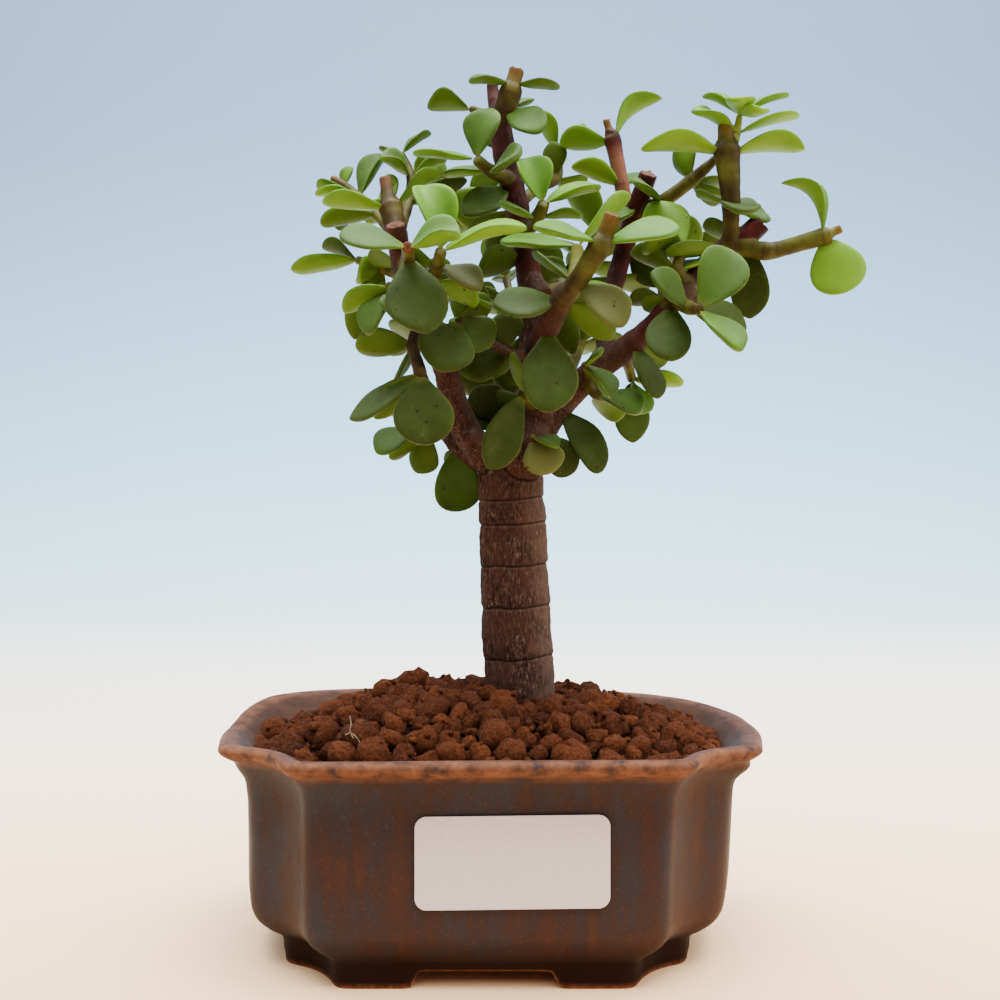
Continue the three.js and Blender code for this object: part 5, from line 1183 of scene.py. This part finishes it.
MORE_LEAVES = [
    # leaves that only the looks have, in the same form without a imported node
    ["back_upper", 3, [541, 109, 3, 7, [0.85, -0.5, 0], 0, 0.6],
     [585, 132, -8, 7, [0, -0.5, 0.8], 0, 0.5]],
    ["tan_shoot", 1, [634, 182, 6, 8, [0.1, 0.6, 0.75], 0, 0.5]],
    ["tan_shoot", 2, [716, 205, -6, 7, [0, 0.2, 1], 0, 0.4]],
    ["vertical_shoot", 1, [741, 212, 12, 9, [0, 0.5, 0.9], 0, 0.3]],
    ["axil_shoot", 2, [703, 95, -2, 6.5, [0, 0.3, 1], 0.04, 0.8],
     [788, 95, -3, 6, [0, 0.2, 1], 0.04, 0.9],
     [762, 110, 8, 6, [0.3, 0.3, 0.9], 0, 1.0], [738, 97, 9, 6.5, [0, 0.4, 0.9], 0, 0.95]],
    ["right_branch", 9, [703, 226, -6, 7.5, [0, -0.4, 0.9], 0, 0.4]],
    ["right_branch", 6, [629, 300, -3, 8, [0, -0.3, 1], 0, 0.2]],
    ["right_up", 1, [630, 254, -5, 8, [0, -0.5, 0.8], 0, 0.4],
     [706, 262, -6, 7, [0, 0, 1], 0, 0.6]],
    ["front_stub", 0, [574, 355, -6, 8, [0, -0.6, 0.8], 0, 0.2]],
    ["mid_left", 2, [453, 318, -6, 8, [0, 0.5, 0.8], 0, 0.4]],
    ["leader", 3, [566, 413, -8, 8, [0.2, -0.8, 0.3], 0, 0.15]],
    ["base_spur", 1, [559, 446, 3, 6.5, [0.1, 0.2, 1], 0, 0.35]],
    ["right_spur", 1, [611, 398, 4, 7.6, [0.7, 0.6, 0.3], 0, 0.4, 0.5],
     [600, 352, 6, 6, [-0.4, 0.6, 0.7], 0, 0.35]],
    ["right_under", 1, [684, 383, 3, 8, [0, -0.4, 0.9], 0, 0.8],
     [633, 443, -2, 9, [0.2, 0.9, 0], 0, 0.35]],
    ["right_under", 1, [640, 412, 6, 8, [0.7, 0.6, 0.1], 0, 0.6, 0.5]],
    ["right_front", 0, [643, 308, -4, 7.5, [0, -0.4, 0.9], 0, 0.3]],
    ["front_twig", 3, [631, 303, -8, 7.5, [0, 0.4, 0.9], 0, 0.6]],
    ["left_hang", 2, [375, 418, -10, 8, [0, -0.5, 0.8], 0, 0.2]],
    ["left_mid", 1, [399, 316, 5, 7, [0, 0.8, 0.5], 0, 0.5]],
    ["left_side", 1, [353, 338, -6, 9, [-0.2, -0.8, 0.5], 0, 0.3],
     [358, 278, 4, 8, [0, -0.6, 0.8], 0, 0.75]],
    ["centre_left", 2, [482, 288, 3, 8, [0.4, 0.6, 0.6], 0, -0.08, 0.3],
     [409, 262, -5, 7.5, [-0.2, -0.6, 0.8], 0, 0.5]],
    ["centre_left", 1, [480, 299, 3, 7.5, [0.3, -0.5, 0.8], 0, 0.5],
     [492, 308, -5, 7.5, [0, 0.6, 0.8], 0, 0.5]],
    ["left_back", 3, [342, 172, -4, 6, [0.4, -0.8, 0.4], 0, 0.5],
     [318, 188, -2, 7, [0, 0.1, 1], 0, 0.6]],
    ["left_back", 1, [320, 222, 4, 7.5, [0, -0.3, 1], 0, 0.4],
     [390, 176, -6, 7, [0.3, -0.6, 0.7], 0, 0.5]],
    ["left_back", 2, [336, 229, -2, 7, [0, -0.2, 1], 0, 0.45]],
    ["left_inner", 2, [446, 160, -3, 8, [0, -0.2, 1], 0, 0.7],
     [380, 156, 4, 8, [-0.2, 0.6, 0.75], 0, 0.5, 0.5]],
    ["left_inner", 3, [431, 133, -2, 6.4, [-0.3, 0.2, 0.9], 0, 0.5, 0.3],
     [383, 149, -3, 6, [0, 0.3, 0.9], 0, 0.45]],
    ["left_inner", 1, [365, 222, -4, 7.5, [0, -0.5, 0.8], 0, 0.7],
     [467, 180, -4, 7.5, [0, -0.4, 0.9], 0, 0.15]],
    ["leader", 8, [485, 124, -8, 7.5, [-0.4, -0.7, 0.4], 0, 0.15]],
    ["leader", 6, [492, 262, -9, 8, [0, -0.7, 0.5], 0, 0.1],
     [468, 240, -12, 8, [0, -0.6, 0.7], 0, 0.2]],
    ["low_left", 1, [389, 458, 2, 8, [0, -0.5, 0.9], 0, 0.35],
     [416, 473, -3, 8, [0.3, -0.8, 0], 0, 0.15]],
    ["left_low", 1, [452, 474, -6, 7, [0.3, -0.8, 0], 0, 0.2]],
    ["left_low", 2, [404, 420, -6, 8, [0, -0.6, 0.8], 0, 0.15],
     [455, 396, -10, 8, [0, -0.7, 0.6], 0, 0.15]],
    ["left_low", 4, [385, 352, -3, 8, [0, -0.5, 0.8], 0, 0.2],
     [436, 326, -6, 8, [0, -0.6, 0.8], 0, 0.2]],
    ["dark_branch", 2, [592, 300, -10, 8, [0, -0.5, 0.8], 0, 0.2],
     [646, 290, -8, 8, [0, -0.5, 0.8], 0, 0.3]],
    ["mid_left", 3, [493, 344, 0, 9, [0, 1, 0.2], 0, 0.25]],
    ["back_fork", 1, [477, 386, 3, 9.5, [0.2, 0.9, 0.2], 0, 0.0],
     [466, 414, 2, 8, [0, 0.6, 0.7], 0, 0.05]],
    ["back_fork", 3, [511, 400, 1, 10, [0, 0.6, 0.7], 0, 0.05]],
    ["back_left_low", 1, [486, 400, -6, 9, [0, -0.6, 0.7], 0, 0.15],
     [472, 396, -14, 8.5, [0, -0.7, 0.5], 0, 0.2]],
    ["back_middle", 1, [500, 390, -2, 9, [0, -0.7, 0.5], 0, 0.15],
     [524, 396, -10, 8.5, [0, -0.7, 0.5], 0, 0.1]],
    ["leader", 2, [504, 424, -12, 8.5, [0.2, -0.8, 0.3], 0, 0.1],
     [482, 412, -16, 8, [-0.2, -0.8, 0.3], 0, 0.1]],
    ["left_branch", 4, [392, 330, -14, 8.5, [0, -0.6, 0.7], 0, 0.2],
     [478, 350, -18, 8.5, [0, -0.6, 0.7], 0, 0.2]],
    ["left_branch", 5, [378, 300, -12, 8.5, [0, -0.6, 0.7], 0, 0.3],
     [462, 290, -14, 8.5, [0, -0.6, 0.8], 0, 0.3]],
    ["left_branch", 6, [372, 262, -10, 8, [0, -0.5, 0.8], 0, 0.3],
     [446, 268, -12, 8, [0, -0.5, 0.8], 0, 0.35]],
    ["dark_branch", 4, [607, 222, 4, 7, [0, 0.5, 0.8], 0, 0.5],
     [664, 216, -6, 7, [0, -0.2, 1], 0, 0.4]],
]
BACK_SHOOTS = [
    # shoots behind the crown that carry leaves on every node: the shoot, the turn of its first pair
    ("back_left", 0.3), ("back_right", 1.1), ("back_low", 0.6), ("back_left_low", 0.2),
    ("back_middle", 0.9), ("back_far_right", 0.5),
]

leaf_skin, tree, shader = new_material("waxy_succulent_leaf")
tone, upper, rim, reach = (
    add_node(tree, "ShaderNodeAttribute", attribute_name=name).outputs["Fac"]
    for name in ("tone", "upper", "rim", "reach"))
where = add_node(tree, "ShaderNodeTexCoord").outputs["Object"]
# Cloudy green, lighter and darker over about 4 mm, and a fine mottle of the cells at 0.4 mm.
cloud = add_node(tree, "ShaderNodeTexNoise", {"Vector": where, "Scale": 260.0, "Detail": 3.0})
cells = add_node(tree, "ShaderNodeTexNoise", {"Vector": where, "Scale": 2300.0, "Detail": 2.0})
drift = add_node(tree, "ShaderNodeMath", {0: cloud.outputs[0], 1: 0.5}, operation="SUBTRACT")
toned = add_node(tree, "ShaderNodeMath", {0: drift.outputs[0], 1: 0.35, 2: tone},
                 operation="MULTIPLY_ADD")
flesh = add_node(tree, "ShaderNodeValToRGB", {0: toned.outputs[0]}, stops=[
    (0.0, "#27300f"), (0.25, "#2f3e13"), (0.5, "#375318"), (0.75, "#457017"), (1.0, "#638c17")])
# Painted sheen: the upper faces of young leaves are tinted a greyer green, standing in for the
# reflection of the light above.
upper_sheen = add_node(tree, "ShaderNodeMapRange", {"Value": upper, "From Min": 0.0, "From Max": 0.5,
                                              "To Max": 0.08})
youth = add_node(tree, "ShaderNodeMapRange", {"Value": tone, "From Min": 0.2, "From Max": 0.6})
young_upper_sheen = add_node(tree, "ShaderNodeMath", {0: upper_sheen.outputs[0], 1: youth.outputs[0]},
                 operation="MULTIPLY")
sheened = add_node(tree, "ShaderNodeMix", {0: young_upper_sheen.outputs[0], 6: flesh.outputs[0],
                                           7: linear("#46652c")}, data_type="RGBA")
# The underside is thinner-skinned, and the light that comes through it looks yellow-green.
below = add_node(tree, "ShaderNodeMapRange", {"Value": upper, "From Min": 0.0, "From Max": -0.4})
lit = add_node(tree, "ShaderNodeMath", {0: below.outputs[0], 1: tone}, operation="MULTIPLY")
half_lit = add_node(tree, "ShaderNodeMath", {0: lit.outputs[0], 1: 0.6}, operation="MULTIPLY")
faced = add_node(tree, "ShaderNodeMix", {0: half_lit.outputs[0], 6: sheened.outputs[2],
                                         7: linear("#6f9424")}, data_type="RGBA")
# A few failing leaves have faded to khaki. Their tone is below zero.
failing = add_node(tree, "ShaderNodeMapRange", {"Value": tone, "From Min": 0.0, "From Max": -0.3,
                                                "To Max": 0.85})
faded = add_node(tree, "ShaderNodeMix", {0: failing.outputs[0], 6: faced.outputs[2],
                                         7: linear("#6d6f3a")}, data_type="RGBA")
# Pale dust and scurf of about a quarter millimetre, on old leaves only.
dust_noise = add_node(tree, "ShaderNodeTexNoise", {"Vector": where, "Scale": 3600.0, "Detail": 1.0})
dust_cloud = add_node(tree, "ShaderNodeMath", {0: cloud.outputs[0], 1: 0.35,
                                               2: dust_noise.outputs[0]}, operation="MULTIPLY_ADD")
dust_old = add_node(tree, "ShaderNodeMapRange", {"Value": tone, "From Min": 0.35, "From Max": 0.1,
                                                 "To Max": 0.22})
dust_mask = add_node(tree, "ShaderNodeMapRange", {"Value": dust_cloud.outputs[0], "From Min": 0.86,
                                                  "From Max": 0.95})
dust = add_node(tree, "ShaderNodeMath", {0: dust_mask.outputs[0], 1: dust_old.outputs[0]},
                operation="MULTIPLY")
dusty = add_node(tree, "ShaderNodeMix", {0: dust.outputs[0], 6: faded.outputs[2],
                                         7: linear("#8d9468")}, data_type="RGBA")
edge = add_node(tree, "ShaderNodeMapRange", {"Value": rim, "From Min": 0.6, "From Max": 0.98,
                                             "To Max": 0.35})
edged = add_node(tree, "ShaderNodeMix", {0: edge.outputs[0], 6: dusty.outputs[2],
                                         7: linear("#57503a")}, data_type="RGBA")
# Dark specks of old sap and pores, half a millimetre wide, thick on old leaves and rare on young.
dots = add_node(tree, "ShaderNodeTexVoronoi", {"Vector": where, "Scale": 520.0})
dot = add_node(tree, "ShaderNodeMapRange", {"Value": dots.outputs["Distance"], "From Min": 0.2,
                                            "From Max": 0.1})
dot_pick = add_node(tree, "ShaderNodeSeparateColor", {0: dots.outputs["Color"]})
few = add_node(tree, "ShaderNodeMapRange", {"Value": tone, "From Min": 0.15, "From Max": 0.6,
                                            "To Min": 0.30, "To Max": 0.03})
picked = add_node(tree, "ShaderNodeMath", {0: dot_pick.outputs[0], 1: few.outputs[0]},
                  operation="LESS_THAN")
spotted = add_node(tree, "ShaderNodeMath", {0: dot.outputs[0], 1: picked.outputs[0]},
                   operation="MULTIPLY")
spots = add_node(tree, "ShaderNodeMix", {0: spotted.outputs[0], 6: edged.outputs[2],
                                         7: linear("#1c1a0c")}, data_type="RGBA")
neck = add_node(tree, "ShaderNodeMapRange", {"Value": reach, "From Min": 0.14, "From Max": 0.0,
                                             "To Max": 0.6})
whole = add_node(tree, "ShaderNodeMix", {0: neck.outputs[0], 6: spots.outputs[2],
                                         7: linear("#5a6026")}, data_type="RGBA")
tree.links.new(whole.outputs[2], shader.inputs["Base Color"])
wax = add_node(tree, "ShaderNodeMapRange", {"Value": tone, "To Min": 0.56, "To Max": 0.42})
tree.links.new(wax.outputs[0], shader.inputs["Roughness"])
bump = add_node(tree, "ShaderNodeBump", {"Height": cells.outputs[0], "Distance": 0.00006,
                                         "Strength": 0.5})
tree.links.new(bump.outputs[0], shader.inputs["Normal"])
shader.inputs["IOR"].default_value = 1.35
level = add_node(tree, "ShaderNodeMapRange", {"Value": tone, "From Min": 0.1, "From Max": 0.7,
                                              "To Min": 0.1, "To Max": 0.17})
tree.links.new(level.outputs[0], shader.inputs["Specular IOR Level"])
shader.inputs["Subsurface Weight"].default_value = 0.4
shader.inputs["Subsurface Radius"].default_value = (0.0009, 0.0012, 0.0003)
shader.inputs["Subsurface Scale"].default_value = 1.0

LEAF_THICK, LEAF_WIDEST, LEAF_NECK, LEAF_SEAT = 1.9, 0.6, 0.19, 0.55
chance = np.random.default_rng(61)


def leaf_grids(base, axis, normal, length, width, arch, tone, fold, rows=17, columns=18):
    """Leaves as closed grids. Along the leaf the half width is a quarter sine from the neck to the
    widest place, and from there a quarter ellipse that most leaves pull out to a blunt point.
    Across it the section is a flattened oval. The middle line arches towards the upper face and
    its last part curls, the margins cup up, young leaves fold along the midrib, and the upper face
    keeps a shallow groove near the neck. Each leaf also leans aside, twists and waves."""
    t = 0.5 - 0.5 * np.cos(np.linspace(0, np.pi, rows))
    k = len(length)

    def some(low, high):
        return chance.uniform(low, high, (k, 1, 1))

    T = t[None, :, None]
    widening = np.sin(np.pi / 2 * np.minimum(T / LEAF_WIDEST, 1)) ** some(0.85, 1.3)
    past = np.clip((T - LEAF_WIDEST) / (1 - LEAF_WIDEST), 0, 1)
    closing = (1 - past ** some(1.9, 2.5)) ** some(0.5, 0.78)
    H = np.where(T < LEAF_WIDEST, LEAF_NECK + (1 - LEAF_NECK) * widening, closing)
    H = np.where(T < 0.02, H * 0.6, H)
    turn = np.linspace(0, 2 * np.pi, columns, endpoint=False)
    wide = (np.sign(np.cos(turn)) * abs(np.cos(turn)) ** 0.8)[None, None]
    thick = (np.sign(np.sin(turn)) * abs(np.sin(turn)) ** 0.9)[None, None]
    L, W = length[:, None, None], width[:, None, None]
    young = tone[:, None, None]
    X = (wide + some(-0.08, 0.08) * np.cos(turn)[None, None] ** 2) * H * W / 2
    swell = (LEAF_THICK / 2) * (0.42 + 0.055 * W)
    swell = swell * (0.55 + 0.45 * np.sin(np.pi / 2 * np.minimum(1, T / 0.5)))
    Z = thick * swell * np.sqrt(np.minimum(1, H * 1.5))
    Z = Z - 0.2 * np.exp(-(X / 0.8) ** 2) * (1 - T) * (thick > 0)
    spread = wide * H
    Z = Z + some(0.04, 0.12) * W * spread ** 2
    Z = Z + some(0.0, 0.16) * np.clip(young * 1.4, 0.15,
                                      1) * W * (np.sqrt(spread ** 2 + 0.02) - 0.14)
    Z = Z + fold[:, None, None] * W / 2 * (np.sqrt(spread ** 2 + 0.03) - 0.17)
    Z = Z + arch[:, None, None] * L * 4 * T * (1 - T) + some(-0.22,
                                                             0.14) * L * np.clip(T - 0.5, 0, 1) ** 2
    Z = Z + some(0.0, 0.035) * W * spread * np.sin(2 * np.pi * (T * some(0.8, 1.5) + some(0, 1)))
    Y = T * L
    bend, twist = some(-0.06, 0.06), some(-0.22, 0.22)
    X, Z = X + bend * L * 4 * T * (1 - T) + twist * Z * T, Z - twist * X * T
    side = np.cross(axis, normal)
    grid = (base[:, None, None] + Y[..., None] * axis[:, None, None] + X[...,
                                                                         None] * side[:, None, None]
            + Z[..., None] * normal[:, None, None])
    margin = 1 - np.clip(abs(np.sin(turn)) / 0.3, 0, 1)[None, None]
    values = {"upper": thick, "rim": np.maximum(margin, 1.0 * (T > 0.995)), "reach": T}
    return grid, {name: np.broadcast_to(value, X.shape) for name, value in values.items()}


def table_leaves(shoot, place, leaves):
    """Base, axis, face, length, width, arch, tone and fold of table leaves: the axis runs from the
    node to the tip, and the face is made square to it."""
    node = np.array(SHOOTS[shoot][place], float)
    start, radius = seen(node[:3]), node[3]
    column, row, forward, width, arch, tone, fold = np.array(
        [[*leaf[:4], *leaf[5:7], *(leaf[7:] or [0.0])] for leaf in leaves], float).T
    tips = seen(np.stack([column, row, node[2] + forward], -1))
    axis = unit(tips - start)
    face = np.array([leaf[4] for leaf in leaves], float) * [1, -1, 1]
    normal = unit(face - (face * axis).sum(-1, keepdims=True) * axis)
    base = start + axis * radius * LEAF_SEAT
    return base, axis, normal, np.linalg.norm(tips - base, axis=1), width, arch, tone, fold


def make_leaves(name, parts):
    """One piece from a list of leaf groups, with what its material reads stored on it."""
    base, axis, normal, length, width, arch, tone, fold = (
        np.concatenate(column) for column in zip(*parts))
    arch = arch + chance.normal(0.01, 0.02, len(arch))
    grids, values = leaf_grids(base, axis, normal, length, width, arch, tone, fold)
    points, faces = closed_surfaces(grids)
    made = put_mesh(name, points, faces, leaf_skin)
    own_tone = tone[:, None, None] + chance.normal(0, 0.05, (len(tone), 1, 1))
    values["tone"] = np.broadcast_to(own_tone, values["upper"].shape)
    for key, grid in values.items():
        add_values(made, key, np.concatenate(
            [grid[:, :1, 0], grid[:, 1:-1].reshape(len(grid), -1), grid[:, -1:, 0]], 1).ravel())
    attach(made, "root")
    return made


for name, shoot, place, *leaves in LEAF_PAIRS:
    made = make_leaves("leaf_" + name, [table_leaves(shoot, place, leaves)])
    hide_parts("leaves_" + name)
make_leaves("more_leaves", [
    table_leaves(shoot, place, leaves) for shoot, place, *leaves in MORE_LEAVES])


def growing_pairs(shoot, first_turn):
    """Pairs on every node of a shoot but its foot, each turned a right angle from the last. A leaf
    leans out from the stem at about 60 degrees and its upper face looks to the stem's tip."""
    nodes = np.array(SHOOTS[shoot], float)
    path = seen(nodes[:, :3])
    tangent = unit(np.gradient(path, axis=0))[1:]
    number = len(tangent)
    side = unit(np.cross(tangent, [0.13, 0.21, 1.0]))
    other = np.cross(tangent, side)
    turn = first_turn + np.pi / 2 * np.arange(number)
    out = side * np.cos(turn)[:, None] + other * np.sin(turn)[:, None]
    out, stem = np.concatenate([out, -out]), np.concatenate([tangent, tangent])
    lean = np.radians(chance.uniform(48, 74, 2 * number))[:, None]
    axis = unit(stem * np.cos(lean) + out * np.sin(lean) + [0, 0, 0.12])
    normal = unit(stem * np.sin(lean) - out * np.cos(lean))
    normal = unit(normal - (normal * axis).sum(-1, keepdims=True) * axis)
    start = np.concatenate([path[1:], path[1:]])
    radius = np.concatenate([nodes[1:, 3:], nodes[1:, 3:]])
    length = chance.uniform(11.0, 14.5, 2 * number)
    width = length * chance.uniform(0.66, 0.82, 2 * number)
    arch = chance.uniform(0.0, 0.05, 2 * number)
    # Low tones: these leaves are painted darker, as shade at the back of the crown.
    tone = chance.uniform(0.1, 0.5, 2 * number)
    return start + axis * radius * LEAF_SEAT, axis, normal, length, width, arch, tone, 0 * tone


make_leaves("back_leaves", [growing_pairs(shoot, turn) for shoot, turn in BACK_SHOOTS])
